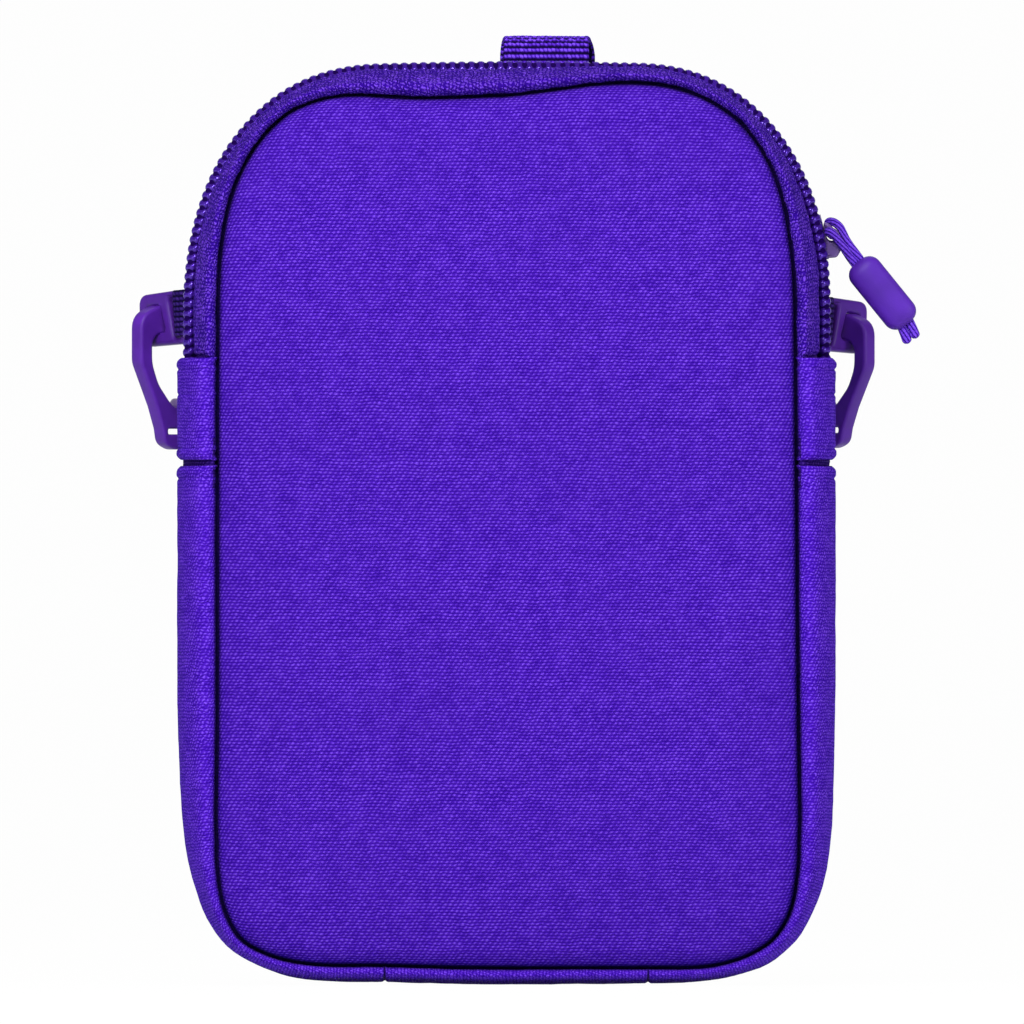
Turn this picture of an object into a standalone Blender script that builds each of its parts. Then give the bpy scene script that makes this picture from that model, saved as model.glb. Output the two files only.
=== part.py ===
"""Small zip-round belt and shoulder pouch, modelled as its separate sewn and moulded pieces.

Metres, +Z up. The origin is the middle of the flat base, the front panel faces -Y and the
zip runs over the top from one end tab to the other. The crown path is the outline of the
pouch seen from the front; every band of cloth, tape or teeth follows that path at a drop
below it, and the two panels fill the seam outline inside it.
"""

import math

import bmesh
import bpy
import numpy as np
from mathutils import Euler, Matrix, Vector
from mathutils.geometry import tessellate_polygon

# Body
BODY_WIDTH = 0.1200
BODY_HEIGHT = 0.1690
BODY_DEPTH = 0.0440
TOP_CORNER_WIDTH = 0.0368
TOP_CORNER_HEIGHT = 0.0458
TOP_CORNER_POWER = 2.2
BOTTOM_CORNER_WIDTH = 0.0300
BOTTOM_CORNER_HEIGHT = 0.0330
BOTTOM_CORNER_POWER = 2.4
SEAM_GAP = 0.0003

# Panels. The front seam wanders: share of the way round from the middle of the base, and
# share of the inset at the sides.
SIDE_SEAM_INSET = 0.0070
FRONT_SEAM_SHARES = (
    (0.0, 0.40), (0.06, 0.41), (0.083, 0.37), (0.099, 0.35), (0.109, 0.44), (0.125, 0.70),
    (0.141, 0.87), (0.17, 0.91), (0.21, 0.94), (0.262, 0.97), (0.34, 1.02), (0.355, 0.99),
    (0.372, 0.88), (0.389, 0.77), (0.409, 0.67), (0.430, 0.65), (0.460, 0.62), (0.471, 0.67),
    (0.485, 0.81), (0.499, 0.94), (0.520, 1.00), (0.534, 1.01), (0.548, 0.94), (0.565, 0.83),
    (0.583, 0.74), (0.600, 0.77), (0.620, 0.85), (0.644, 0.97), (0.660, 1.02), (0.700, 1.00),
    (0.820, 1.00), (0.859, 0.95), (0.875, 0.77), (0.892, 0.50), (0.901, 0.37), (0.914, 0.42),
    (0.930, 0.47), (0.956, 0.47), (0.980, 0.42), (1.0, 0.40),
)
TOP_SEAM_INSET = 0.0062
BOTTOM_SEAM_INSET = 0.0029
PANEL_WALL = 0.0014
FRONT_DOME = 0.0032
BACK_DOME = 0.0016
DOME_POWER = 5.0
PANEL_RING_SHARES = (1.0, 0.93, 0.6)
PADDING_RIM = 0.0019
PADDING_MARGIN = 0.0010
LINING_WALL = 0.0006
PANEL_POINTS = 48

# Gusset and bottom
GUSSET_WALL = 0.0020
GUSSET_FLAT_SHARE = 0.55
GUSSET_DEPTH_SHARES = (1.0, 0.82, GUSSET_FLAT_SHARE)
GUSSET_POWER = 2.0
GUSSET_TOP_DROP = 0.0744
BOTTOM_SEAM_LEFT = 0.0222
BOTTOM_SEAM_RIGHT = 0.0258
GUSSET_STEPS = 20
BOTTOM_STEPS = 3
GUSSET_LINING_GAP = 0.0006
GUSSET_LINING_STEPS = 34
GUSSET_LINING_DEPTH_SHARE = 0.79

# End tabs that close the two ends of the zip, just over the gussets
TAB_GAP = 0.0011
TAB_HEIGHT = 0.0186
TAB_WALL = 0.0006
TAB_STEPS = 5

# Zip strips, tapes and teeth, as drops below the crown path
STRIP_DROP = 0.0031
STRIP_WALL = 0.0010
STRIP_EDGE = 0.0076
STRIP_POWER = 2.0
STRIP_DEPTH_SHARES = (1.0, 0.74, 0.4, 0.0)
STRIP_STEP = 0.0052
TAPE_WIDTH = 0.0092
TAPE_WALL = 0.0005
TAPE_TAIL = 0.0040
TOOTH_DROP = 0.0009
TOOTH_ROOT_DROP = 0.0022
TOOTH_BASE_DROP = 0.0043
TOOTH_PITCH = 0.00175
TOOTH_WIDTH = 0.00325
TOOTH_TIP_INSET = 0.00045
TOOTH_ROOT_INSET = 0.00025
CHAIN_HALF_GAP = 0.00045

# Mouth flap: the part of the front above the fold line
FOLD_DROP = 0.0268

# Slider, which rides on the right stretch of the zip
SLIDER_FOLD_GAP = 0.0056
SLIDER_LENGTH = 0.0096
SLIDER_WIDTH = 0.0092
SLIDER_GAP = 0.0003
SLIDER_WING = 0.0005
SLIDER_LIP_DEPTH = 0.0009
SLIDER_LIP_WALL = 0.0006
SLIDER_WEB_WIDTH = 0.0003
SLIDER_WEB_LENGTH = 0.0036
BRIDGE_LENGTH = 0.0066
BRIDGE_WIDTH = 0.0018
BRIDGE_WALL = 0.0005
BRIDGE_HOLE_GAP = 0.0003
BRIDGE_HOLE_RISE = 0.0014
ZIP_TRAVEL_SINK = 0.0001
ZIP_TRAVEL_TILT_SHARE = 0.97

# Puller: a doubled cord through the slider bridge, held in a moulded grip
CORD_DIAMETER = 0.0015
CORD_PAIR_PITCH = 0.0017
CORD_TAIL = 0.0040
GRIP_LENGTH = 0.0145
GRIP_WIDTH = 0.0066
GRIP_THICKNESS = 0.0052
GRIP_BORE_GAP = 0.0003
GRIP_TILT_DEG = 51.0
GRIP_REACH = 0.0097
GRIP_DROP = 0.0120
GRIP_RIDGE = 0.0003

# The two strands from the grip to the bridge's hole: outwards and up in cord diameters,
# and sideways as a share of the room beside the bridge
CORD_UPPER_SHARES = ((2.6, 0.6, -3.05), (1.65, 0.95, -1.85), (1.3, 1.02, -1.1),
                     (1.02, 1.05, -0.4), (0.68, 1.06, 0.08), (0.22, 1.04, 0.26),
                     (-0.05, 0.98, 0.12), (0.0, 0.5, 0.0))
CORD_LOWER_SHARES = ((2.1, 0.6, -3.7), (1.25, 0.95, -2.65), (0.55, 1.05, -1.65),
                     (0.12, 1.02, -0.75), (0.0, 0.98, -0.15), (0.0, 0.5, 0.0))

# Side rings
RING_HEIGHT = 0.0100
RING_BAR = 0.0015
RING_RAIL = 0.0020
RING_THIN_RAIL = 0.0012
RING_THICKNESS = 0.0018
RING_BEVEL = 0.00045
RING_CORNER = 0.0018
RING_MIDDLE_BAR = 0.0021
RING_INNER_WINDOW = 0.0032
RING_WINDOW_GAP = 0.0006
RING_YAW_DEG = 50.0
RING_ROLL_DEG = 3.0
RING_TAPER = 0.0005
RING_BAR_LEAN = 0.0011
RING_AXIS_INSET = 0.0016
RING_AXIS_SEAM_GAP = 0.0025
RING_TOP_DROP = 0.0470
RING_RIGHT_INSET = 0.0012
RING_RIGHT_SINK = 0.00125

# Webbing tabs that carry the rings
WEBBING_WALL = 0.0008
WEBBING_GAP = 0.0003
WEBBING_SEAM_LIFT = 0.0010
WEBBING_SEAM_DEPTH = 0.0006

# Gated clips
CLIP_WIDTH = 0.0160
CLIP_HEIGHT = 0.0263
CLIP_RIGHT_HEIGHT = 0.0245
CLIP_THICKNESS = 0.0032
CLIP_BEVEL = 0.00035
CLIP_HANG_GAP = 0.0012
CLIP_HANG_SHARE = 0.35
CLIP_SLOT_HEIGHT = 0.0010
CLIP_SLOT_BAR = 0.0028
GATE_GAP = 0.0003
GATE_THICKNESS = 0.0024
GATE_BEVEL = 0.0004
CLIP_CORNER_STEPS = 2

# Top loop
LOOP_WIDTH = 0.0158
LOOP_OFFSET = 0.0068
LOOP_WALL = 0.0012
LOOP_RISE = 0.0042
LOOP_FRONT_DEPTH = 0.0098
LOOP_BACK_DEPTH = 0.0196
LOOP_RIB = 0.0003
LOOP_RIB_COUNT = 15
LOOP_SKEW = 0.0010

# Curve sampling
PATH_SAMPLES = 4000
CORNER_SAMPLES = 600
BORE_SIDES = 12
GRIP_SECTION_POINTS = 14
GRIP_SECTION_POWER = 2.6
GRIP_END_SHARES = ((0.0, 0.62), (0.05, 0.86), (0.16, 1.0))
HALF_DEPTH = BODY_DEPTH / 2
HALF_WIDTH = BODY_WIDTH / 2
GUSSET_TOP = BODY_HEIGHT - GUSSET_TOP_DROP
TAB_BOTTOM = GUSSET_TOP + TAB_GAP
TAB_TOP = TAB_BOTTOM + TAB_HEIGHT
FOLD_HEIGHT = BODY_HEIGHT - FOLD_DROP
SLIDER_HEIGHT = FOLD_HEIGHT - SLIDER_FOLD_GAP
ZIP_TRAVEL_RADIUS = HALF_WIDTH * 1.25
RING_AXIS_DEPTH = HALF_DEPTH - RING_AXIS_SEAM_GAP

# The right ring is sewn a little lower and further in, and carries a shorter clip
RING_SPREADS = {"left": HALF_WIDTH - RING_AXIS_INSET,
                "right": HALF_WIDTH - RING_AXIS_INSET - RING_RIGHT_INSET}
RING_LEVELS = {"left": BODY_HEIGHT - RING_TOP_DROP,
               "right": BODY_HEIGHT - RING_TOP_DROP - RING_RIGHT_SINK}
CLIP_HEIGHTS = {"left": CLIP_HEIGHT, "right": CLIP_RIGHT_HEIGHT}

# Outline of a gated clip: across from the spine and up from the webbing bar, as shares
# of the clip's width and height, with each corner's radius as a share of the width.
CLIP_OUTER_SHARES = (
    (0.50, 0.000, 0.14), (0.365, 0.060, 0.10), (0.325, 0.130, 0.10), (0.235, 0.300, 0.12),
    (0.0, 0.605, 0.10), (0.0, 0.935, 0.20), (0.30, 1.000, 0.20), (0.66, 0.965, 0.22),
    (0.875, 0.890, 0.14), (0.90, 0.770, 0.0),
)
CLIP_NOSE_SHARES = ((0.77, 0.770, 0.0), (0.75, 0.830, 0.08), (0.52, 0.842, 0.14),
                    (0.24, 0.842, 0.14))
CLIP_SPINE_SHARES = (
    (0.178, 0.760, 0.16), (0.178, 0.600, 0.35), (0.27, 0.455, 0.30), (0.42, 0.345, 0.25),
    (0.51, 0.292, 0.08), (0.60, 0.292, 0.05), (0.635, 0.262, 0.04),
)
CLIP_EAR_SHARES = ((0.80, 0.262, 0.0), (0.93, 0.262, 0.0), (0.965, 0.190, 0.06),
                   (0.965, 0.040, 0.06), (0.90, 0.000, 0.06))
CLIP_SLOT_START_SHARE = 0.36
CLIP_SLOT_END_SHARE = 0.875
GATE_LOW_SHARE = 0.262
GATE_HIGH_SHARE = 0.770
GATE_INNER_SHARE = 0.795
GATE_OUTER_SHARE = 0.905

COLOURS = {
    "canvas": (0.082, 0.018, 0.440, 1.0),
    "canvas_light": (0.098, 0.024, 0.480, 1.0),
    "tape": (0.020, 0.006, 0.090, 1.0),
    "teeth": (0.042, 0.008, 0.240, 1.0),
    "webbing": (0.060, 0.020, 0.250, 1.0),
    "padding": (0.300, 0.300, 0.320, 1.0),
    "lining": (0.050, 0.012, 0.260, 1.0),
    "moulded": (0.084, 0.026, 0.330, 1.0),
    "slider": (0.090, 0.060, 0.200, 1.0),
    "cord": (0.086, 0.024, 0.380, 1.0),
    "grip": (0.080, 0.030, 0.380, 1.0),
}
ROUGHNESS = {"teeth": 0.25, "moulded": 0.45, "slider": 0.35, "grip": 0.5}
METALLIC = {"slider": 0.8}
CLOTH_ROUGHNESS = 0.85


def clear_objects():
    for obj in list(bpy.data.objects):
        bpy.data.objects.remove(obj, do_unlink=True)


def material(slot):
    """The Principled material of one finish, made once."""
    found = bpy.data.materials.get(slot)
    if found:
        return found
    made = bpy.data.materials.new(slot)
    made.use_nodes = True
    shader = made.node_tree.nodes["Principled BSDF"]
    shader.inputs["Base Color"].default_value = COLOURS[slot]
    shader.inputs["Roughness"].default_value = ROUGHNESS.get(slot, CLOTH_ROUGHNESS)
    shader.inputs["Metallic"].default_value = METALLIC.get(slot, 0.0)
    return made


def add_object(name, mesh_data, slot, location=(0, 0, 0), rotation=(0, 0, 0), parent=None):
    """Turn a bmesh into a named object with its finish, placed where it is carried."""
    bmesh.ops.recalc_face_normals(mesh_data, faces=mesh_data.faces)
    mesh = bpy.data.meshes.new(name)
    mesh_data.to_mesh(mesh)
    mesh_data.free()
    mesh.materials.append(material(slot))
    obj = bpy.data.objects.new(name, mesh)
    obj.location = location
    obj.rotation_euler = rotation
    if parent:
        obj.parent = parent
    bpy.context.scene.collection.objects.link(obj)
    return obj


def add_axis(name, location, rotation=(0, 0, 0), parent=None):
    """An empty on a joint's axis, which carries the pieces that move with it."""
    empty = bpy.data.objects.new(name, None)
    empty.location = location
    empty.rotation_euler = rotation
    if parent:
        empty.parent = parent
    bpy.context.scene.collection.objects.link(empty)
    return empty


def corner_curve(width, height, power):
    """A quarter of a superellipse, from (width, 0) to (0, height)."""
    angles = np.linspace(0.0, math.pi / 2, CORNER_SAMPLES)
    across = width * np.cos(angles).clip(0.0) ** (2 / power)
    up = height * np.sin(angles).clip(0.0) ** (2 / power)
    return across, up


class CrownPath:
    """The front-view outline of the pouch by arc length, from the middle of the base to the right."""

    def __init__(self):
        low_x, low_z = corner_curve(BOTTOM_CORNER_WIDTH, BOTTOM_CORNER_HEIGHT,
                                    BOTTOM_CORNER_POWER)
        high_x, high_z = corner_curve(TOP_CORNER_WIDTH, TOP_CORNER_HEIGHT, TOP_CORNER_POWER)
        low_centre = HALF_WIDTH - BOTTOM_CORNER_WIDTH
        high_centre = HALF_WIDTH - TOP_CORNER_WIDTH
        top_start = BODY_HEIGHT - TOP_CORNER_HEIGHT
        xs = np.concatenate(([0.0], low_centre + low_x[::-1], high_centre + high_x, [0.0]))
        zs = np.concatenate(([0.0], BOTTOM_CORNER_HEIGHT - low_z[::-1], top_start + high_z,
                             [BODY_HEIGHT]))
        steps = np.hypot(np.diff(xs), np.diff(zs))
        along = np.concatenate(([0.0], np.cumsum(steps)))
        self.half = along[-1]
        self.total = 2 * self.half
        self.grid = np.linspace(0.0, self.half, PATH_SAMPLES)
        self.x = np.interp(self.grid, along, xs)
        self.z = np.interp(self.grid, along, zs)
        self.nx = np.gradient(self.z, self.grid)
        self.nz = -np.gradient(self.x, self.grid)

    def at(self, length):
        """Point and outward normal at an arc length; the left half mirrors the right."""
        length = length % self.total
        mirrored = length > self.half
        along = self.total - length if mirrored else length
        sign = -1.0 if mirrored else 1.0
        x, z, nx, nz = (float(np.interp(along, self.grid, values))
                        for values in (self.x, self.z, self.nx, self.nz))
        size = math.hypot(nx, nz)
        return sign * x, z, sign * nx / size, nz / size

    def length_at_height(self, height, side=1):
        """Arc length where the path's right (side 1) or left (side -1) flank has this height."""
        along = float(np.interp(height, self.z, self.grid))
        return along if side > 0 else self.total - along

    def length_on_base(self, across):
        """Arc length of a point of the flat base, left of the middle where across is negative."""
        return across if across >= 0 else self.total + across

    def inset(self, length, side=1):
        """How far a panel's seam lies inside the crown path; side -1 is the front."""
        if side < 0:
            shares = np.interp(length % self.total / self.total, *zip(*FRONT_SEAM_SHARES))
            return SIDE_SEAM_INSET * float(shares)
        _, _, nx, nz = self.at(length)
        upright = TOP_SEAM_INSET if nz > 0 else BOTTOM_SEAM_INSET
        return SIDE_SEAM_INSET * nx * nx + upright * nz * nz

    def place(self, length, drop, depth):
        """World point at a drop below the path and a depth along Y."""
        x, z, nx, nz = self.at(length)
        return Vector((x - nx * drop, depth, z - nz * drop))


PATH = CrownPath()


def loft(rings):
    """A closed skin through equal rings, with flat caps at both ends."""
    mesh_data = bmesh.new()
    rows = [[mesh_data.verts.new(point) for point in ring] for ring in rings]
    count = len(rows[0])
    for low, high in zip(rows, rows[1:]):
        for index in range(count):
            other = (index + 1) % count
            mesh_data.faces.new((low[index], low[other], high[other], high[index]))
    mesh_data.faces.new(rows[0])
    mesh_data.faces.new(rows[-1])
    return mesh_data


def sweep_band(start, end, steps, section):
    """Carry a section of (drop, depth) pairs along the crown path between two arc lengths."""
    rings = []
    for length in np.linspace(start, end, steps + 1):
        insets = PATH.inset(length, -1), PATH.inset(length, 1)
        rings.append([PATH.place(length, drop, depth) for drop, depth in section(insets)])
    return loft(rings)


def gusset_section(wall, depth_limit_share=1.0, skin_drop=0.0):
    """A band from seam to seam: flat across the middle, curving down to the seams."""
    flat = HALF_DEPTH * GUSSET_FLAT_SHARE

    def line(base_drop, seam_depth, inset):
        points = []
        for share in GUSSET_DEPTH_SHARES:
            depth = flat + (seam_depth - flat) * (share - GUSSET_FLAT_SHARE) / (
                1.0 - GUSSET_FLAT_SHARE)
            depth = min(depth, HALF_DEPTH * depth_limit_share)
            bend = ((depth - flat) / (seam_depth - flat)) ** GUSSET_POWER
            points.append((base_drop + (inset - base_drop) * bend, depth))
        return points

    def half(inset):
        outer = line(skin_drop, HALF_DEPTH - skin_drop, inset)
        inner = line(skin_drop + wall, HALF_DEPTH - skin_drop - wall, inset)
        if depth_limit_share < 1.0:
            inner = [(drop + wall, depth) for drop, depth in outer]
        return outer, inner

    def section(insets):
        front_outer, front_inner = ([(drop, -depth) for drop, depth in skin]
                                    for skin in half(insets[0]))
        back_outer, back_inner = half(insets[1])
        return front_outer + back_outer[::-1] + back_inner + front_inner[::-1]

    return section


def strip_section(side):
    """A zip strip from the seam to its folded edge beside the teeth; side -1 is the front."""
    def line(edge_drop, seam_depth, inset):
        points = []
        for share in STRIP_DEPTH_SHARES:
            depth = STRIP_EDGE + (seam_depth - STRIP_EDGE) * share
            drop = edge_drop + (inset - edge_drop) * share ** STRIP_POWER
            points.append((drop, side * depth))
        return points

    def section(insets):
        inset = insets[0] if side < 0 else insets[1]
        outer = line(STRIP_DROP, HALF_DEPTH, inset)
        inner = line(STRIP_DROP + STRIP_WALL, HALF_DEPTH - PANEL_WALL, inset)
        return outer + inner[::-1]

    return section


def tape_section(side):
    """The woven tape under the teeth and under the strip's folded edge."""
    top = TOOTH_BASE_DROP + SEAM_GAP
    near = side * CHAIN_HALF_GAP
    far = side * (CHAIN_HALF_GAP + TAPE_WIDTH)

    def section(_insets):
        return [(top, near), (top, far), (top + TAPE_WALL, far), (top + TAPE_WALL, near)]

    return section


def tooth_row(start, end, side):
    """One row of teeth: a bar whose section swells at each tooth; the rows are half a tooth apart."""
    count = max(1, round(abs(end - start) / TOOTH_PITCH))
    step = (end - start) / (2 * count)
    swell_first = side > 0
    rings = []
    for index in range(2 * count + 1):
        swollen = (index % 2 == 0) == swell_first
        drop = TOOTH_DROP if swollen else TOOTH_ROOT_DROP
        inset = 0.0 if swollen else TOOTH_ROOT_INSET
        near = side * (CHAIN_HALF_GAP + inset)
        far = side * (CHAIN_HALF_GAP + TOOTH_WIDTH - inset)
        near_tip = near + side * TOOTH_TIP_INSET
        far_tip = far - side * TOOTH_TIP_INSET
        length = start + step * index
        rings.append([PATH.place(length, TOOTH_BASE_DROP, near), PATH.place(length, drop, near_tip),
                      PATH.place(length, drop, far_tip), PATH.place(length, TOOTH_BASE_DROP, far)])
    return loft(rings)


def seam_outline(margin, side):
    """Closed outline inside a panel's seam, shrunk by a margin, as (x, z) pairs."""
    points = []
    for length in np.linspace(0.0, PATH.total, PANEL_POINTS, endpoint=False):
        place = PATH.place(length, PATH.inset(length, side) + SEAM_GAP + margin, 0.0)
        points.append((place.x, place.z))
    return points


def domed_plate(side, margin, rim_depth, dome, wall, flat_back):
    """A panel or pad: domed outwards from its rim, with a domed or flat inner face."""
    outline = seam_outline(margin, side)
    middle = BODY_HEIGHT / 2
    mesh_data = bmesh.new()

    def skin(depth, rise):
        rows = []
        for share in PANEL_RING_SHARES:
            lift = rise * (1.0 - share ** DOME_POWER)
            rows.append([mesh_data.verts.new((x * share, side * (depth + lift),
                                              middle + (z - middle) * share))
                         for x, z in outline])
        centre = mesh_data.verts.new((0.0, side * (depth + rise), middle))
        for rim, inner in zip(rows, rows[1:]):
            for index in range(PANEL_POINTS):
                other = (index + 1) % PANEL_POINTS
                mesh_data.faces.new((rim[index], rim[other], inner[other], inner[index]))
        for index in range(PANEL_POINTS):
            mesh_data.faces.new((rows[-1][index], rows[-1][(index + 1) % PANEL_POINTS], centre))
        return rows[0]

    outer = skin(rim_depth, dome)
    if flat_back:
        inner = [mesh_data.verts.new((x, side * (rim_depth - wall), z)) for x, z in outline]
        mesh_data.faces.new(inner)
    else:
        inner = skin(rim_depth - wall, dome)
    for index in range(PANEL_POINTS):
        other = (index + 1) % PANEL_POINTS
        mesh_data.faces.new((outer[index], outer[other], inner[other], inner[index]))
    return mesh_data


def flat_plate(side, margin, outer_depth, wall):
    """A thin flat sheet inside the seam outline."""
    outline = seam_outline(margin, side)
    return loft([[Vector((x, side * depth, z)) for x, z in outline]
                 for depth in (outer_depth, outer_depth - wall)])


def cut_at_fold(mesh_data, keep_above):
    """Keep the part of a front piece above or below the fold line of the mouth."""
    height = FOLD_HEIGHT + (SEAM_GAP / 2 if keep_above else -SEAM_GAP / 2)
    geometry = mesh_data.verts[:] + mesh_data.edges[:] + mesh_data.faces[:]
    cut = bmesh.ops.bisect_plane(mesh_data, geom=geometry, plane_co=(0, 0, height),
                                 plane_no=(0, 0, 1), clear_inner=keep_above,
                                 clear_outer=not keep_above)
    edges = [item for item in cut["geom_cut"] if isinstance(item, bmesh.types.BMEdge)]
    bmesh.ops.edgeloop_fill(mesh_data, edges=edges)
    return mesh_data


def offset_outline(points, distance):
    """Move a closed outline's edges sideways by a distance, to the left of its direction."""
    count = len(points)
    moved = []
    for index, here in enumerate(points):
        before = Vector(points[index - 1])
        after = Vector(points[(index + 1) % count])
        here = Vector(here)
        first = (here - before).normalized()
        second = (after - here).normalized()
        first_left = Vector((-first.y, first.x))
        second_left = Vector((-second.y, second.x))
        bisector = (first_left + second_left).normalized()
        reach = distance / max(bisector.dot(first_left), 0.5)
        moved.append(tuple(here + bisector * reach))
    return moved


def rounded_outline(corners, steps):
    """Outline through corners of (across, up, radius), each corner turned by an arc."""
    points = []
    count = len(corners)
    for index, (across, up, radius) in enumerate(corners):
        here = Vector((across, up))
        if radius <= 0:
            points.append(tuple(here))
            continue
        before = Vector(corners[index - 1][:2])
        after = Vector(corners[(index + 1) % count][:2])
        towards = (before - here).normalized()
        away = (after - here).normalized()
        half_angle = towards.angle(away) / 2
        room = min((before - here).length, (after - here).length) / 2
        cut = min(radius / math.tan(half_angle), room)
        start = here + towards * cut
        end = here + away * cut
        for step in range(steps + 1):
            share = step / steps
            blend = start * (1 - share) ** 2 + here * (2 * share * (1 - share)) + end * share ** 2
            points.append(tuple(blend))
    return points


def chamfered_plate(outer, holes, thickness, bevel):
    """A flat moulded plate in the XZ plane, centred on Y, with chamfered edges and windows."""
    half = thickness / 2
    layers = ((-half, bevel), (bevel - half, 0.0), (half - bevel, 0.0), (half, bevel))
    loops = [outer] + list(holes)
    mesh_data = bmesh.new()
    rows = []
    for depth, shrink in layers:
        row = []
        for loop in loops:
            moved = offset_outline(loop, shrink) if shrink else loop
            row.append([mesh_data.verts.new((x, depth, z)) for x, z in moved])
        rows.append(row)
    for low, high in zip(rows, rows[1:]):
        for low_loop, high_loop in zip(low, high):
            count = len(low_loop)
            for index in range(count):
                other = (index + 1) % count
                mesh_data.faces.new((low_loop[index], low_loop[other], high_loop[other],
                                     high_loop[index]))
    for row in (rows[0], rows[-1]):
        flat = [vert for loop in row for vert in loop]
        polygons = [[Vector((vert.co.x, vert.co.z, 0.0)) for vert in loop] for loop in row]
        for triangle in tessellate_polygon(polygons):
            mesh_data.faces.new([flat[index] for index in triangle])
    return mesh_data


def build_panels():
    """Front and back panels with their padding and lining; the front ones are cut at the fold."""
    padding_depth = HALF_DEPTH - PANEL_WALL - SEAM_GAP
    lining_depth = padding_depth - PADDING_RIM - SEAM_GAP
    for part, above in (("lower", False), ("upper", True)):
        panel = domed_plate(-1, 0.0, HALF_DEPTH, FRONT_DOME, PANEL_WALL, False)
        padding = domed_plate(-1, PADDING_MARGIN, padding_depth, FRONT_DOME, PADDING_RIM, True)
        lining = flat_plate(-1, PADDING_MARGIN, lining_depth, LINING_WALL)
        add_object("front_panel_" + part, cut_at_fold(panel, above), "canvas")
        add_object("front_padding_" + part, cut_at_fold(padding, above), "padding")
        add_object("front_lining_" + part, cut_at_fold(lining, above), "lining")
    add_object("back_panel", domed_plate(1, 0.0, HALF_DEPTH, BACK_DOME, PANEL_WALL, False),
               "canvas")
    add_object("back_padding", domed_plate(1, PADDING_MARGIN, padding_depth, BACK_DOME,
                                           PADDING_RIM, True), "padding")
    add_object("back_lining", flat_plate(1, PADDING_MARGIN, lining_depth, LINING_WALL), "lining")


def build_gusset():
    """The lower side bands, the bottom piece between its two seams, and their lining."""
    section = gusset_section(GUSSET_WALL)
    right_seam = PATH.length_on_base(BOTTOM_SEAM_RIGHT)
    left_seam = PATH.length_on_base(-BOTTOM_SEAM_LEFT)
    right_top = PATH.length_at_height(GUSSET_TOP)
    left_top = PATH.length_at_height(GUSSET_TOP, -1)
    half_gap = SEAM_GAP / 2
    add_object("gusset_right", sweep_band(right_seam + half_gap, right_top, GUSSET_STEPS,
                                          section), "canvas_light")
    add_object("gusset_left", sweep_band(left_top, left_seam - half_gap, GUSSET_STEPS,
                                         section), "canvas_light")
    add_object("bottom_panel", sweep_band(left_seam + half_gap - PATH.total,
                                          right_seam - half_gap, BOTTOM_STEPS, section),
               "canvas_light")
    lining = gusset_section(LINING_WALL, GUSSET_LINING_DEPTH_SHARE,
                            GUSSET_WALL + GUSSET_LINING_GAP)
    add_object("gusset_lining", sweep_band(left_top - PATH.total, right_top,
                                           GUSSET_LINING_STEPS, lining), "lining")


def build_zip():
    """Strips, tapes and rows of teeth; the front ones are cut where the mouth folds."""
    half_gap = SEAM_GAP / 2
    for side_name, side in (("right", 1), ("left", -1)):
        tab = gusset_section(TAB_WALL)
        low = PATH.length_at_height(TAB_BOTTOM, side)
        high = PATH.length_at_height(TAB_TOP, side)
        add_object("zip_end_tab_" + side_name, sweep_band(low, high, TAB_STEPS, tab),
                   "canvas_light")

    strip_right = PATH.length_at_height(TAB_TOP + SEAM_GAP)
    strip_left = PATH.length_at_height(TAB_TOP + SEAM_GAP, -1)
    tape_right = PATH.length_at_height(GUSSET_TOP - TAPE_TAIL)
    tape_left = PATH.length_at_height(GUSSET_TOP - TAPE_TAIL, -1)
    teeth_right = PATH.length_at_height(GUSSET_TOP + SEAM_GAP)
    teeth_left = PATH.length_at_height(GUSSET_TOP + SEAM_GAP, -1)
    fold_right = PATH.length_at_height(FOLD_HEIGHT)
    fold_left = PATH.length_at_height(FOLD_HEIGHT, -1)

    def stretch(kind, suffix, slot, start, end, section):
        steps = max(2, round((end - start) / STRIP_STEP))
        add_object(kind + suffix, sweep_band(start, end, steps, section), slot)

    stretches = (("_front_upper", -1, fold_right + half_gap, fold_left - half_gap),
                 ("_front_right", -1, None, fold_right - half_gap),
                 ("_front_left", -1, fold_left + half_gap, None),
                 ("_rear", 1, None, None))
    for suffix, side, start, end in stretches:
        stretch("zip_strip", suffix, "canvas_light", strip_right if start is None else start,
                strip_left if end is None else end, strip_section(side))
        stretch("zip_tape", suffix, "tape", tape_right if start is None else start,
                tape_left if end is None else end, tape_section(side))
        add_object("zip_teeth" + suffix,
                   tooth_row(teeth_right if start is None else start,
                             teeth_left if end is None else end, side), "teeth")


def box_between(mesh_data, low, high):
    """Add a closed box to a bmesh."""
    centre = [(a + b) / 2 for a, b in zip(low, high)]
    size = [b - a for a, b in zip(low, high)]
    matrix = Matrix.Translation(centre) @ Matrix.Diagonal((*size, 1.0))
    bmesh.ops.create_cube(mesh_data, size=1.0, matrix=matrix)


def union(target, tool):
    """Join a tool object onto the target with a Boolean modifier; the tool becomes a guide."""
    modifier = target.modifiers.new("join_" + tool.name, "BOOLEAN")
    modifier.operation = "UNION"
    modifier.object = tool
    as_guide(tool)


def cut_away(target, tool):
    """Cut a tool object out of the target with a Boolean modifier."""
    modifier = target.modifiers.new("cut_" + tool.name, "BOOLEAN")
    modifier.operation = "DIFFERENCE"
    modifier.object = tool
    as_guide(tool)


def as_guide(obj):
    obj.hide_render = True
    obj.display_type = "WIRE"


def slider_bridge_hole():
    """Where the cord passes through the bridge, outwards and up from the slider's middle."""
    top_wing = TOOTH_DROP - SLIDER_GAP - SLIDER_WING
    hole_radius = CORD_DIAMETER / 2 + BRIDGE_HOLE_GAP
    return -top_wing + BRIDGE_WALL / 2 + hole_radius, BRIDGE_HOLE_RISE


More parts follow.
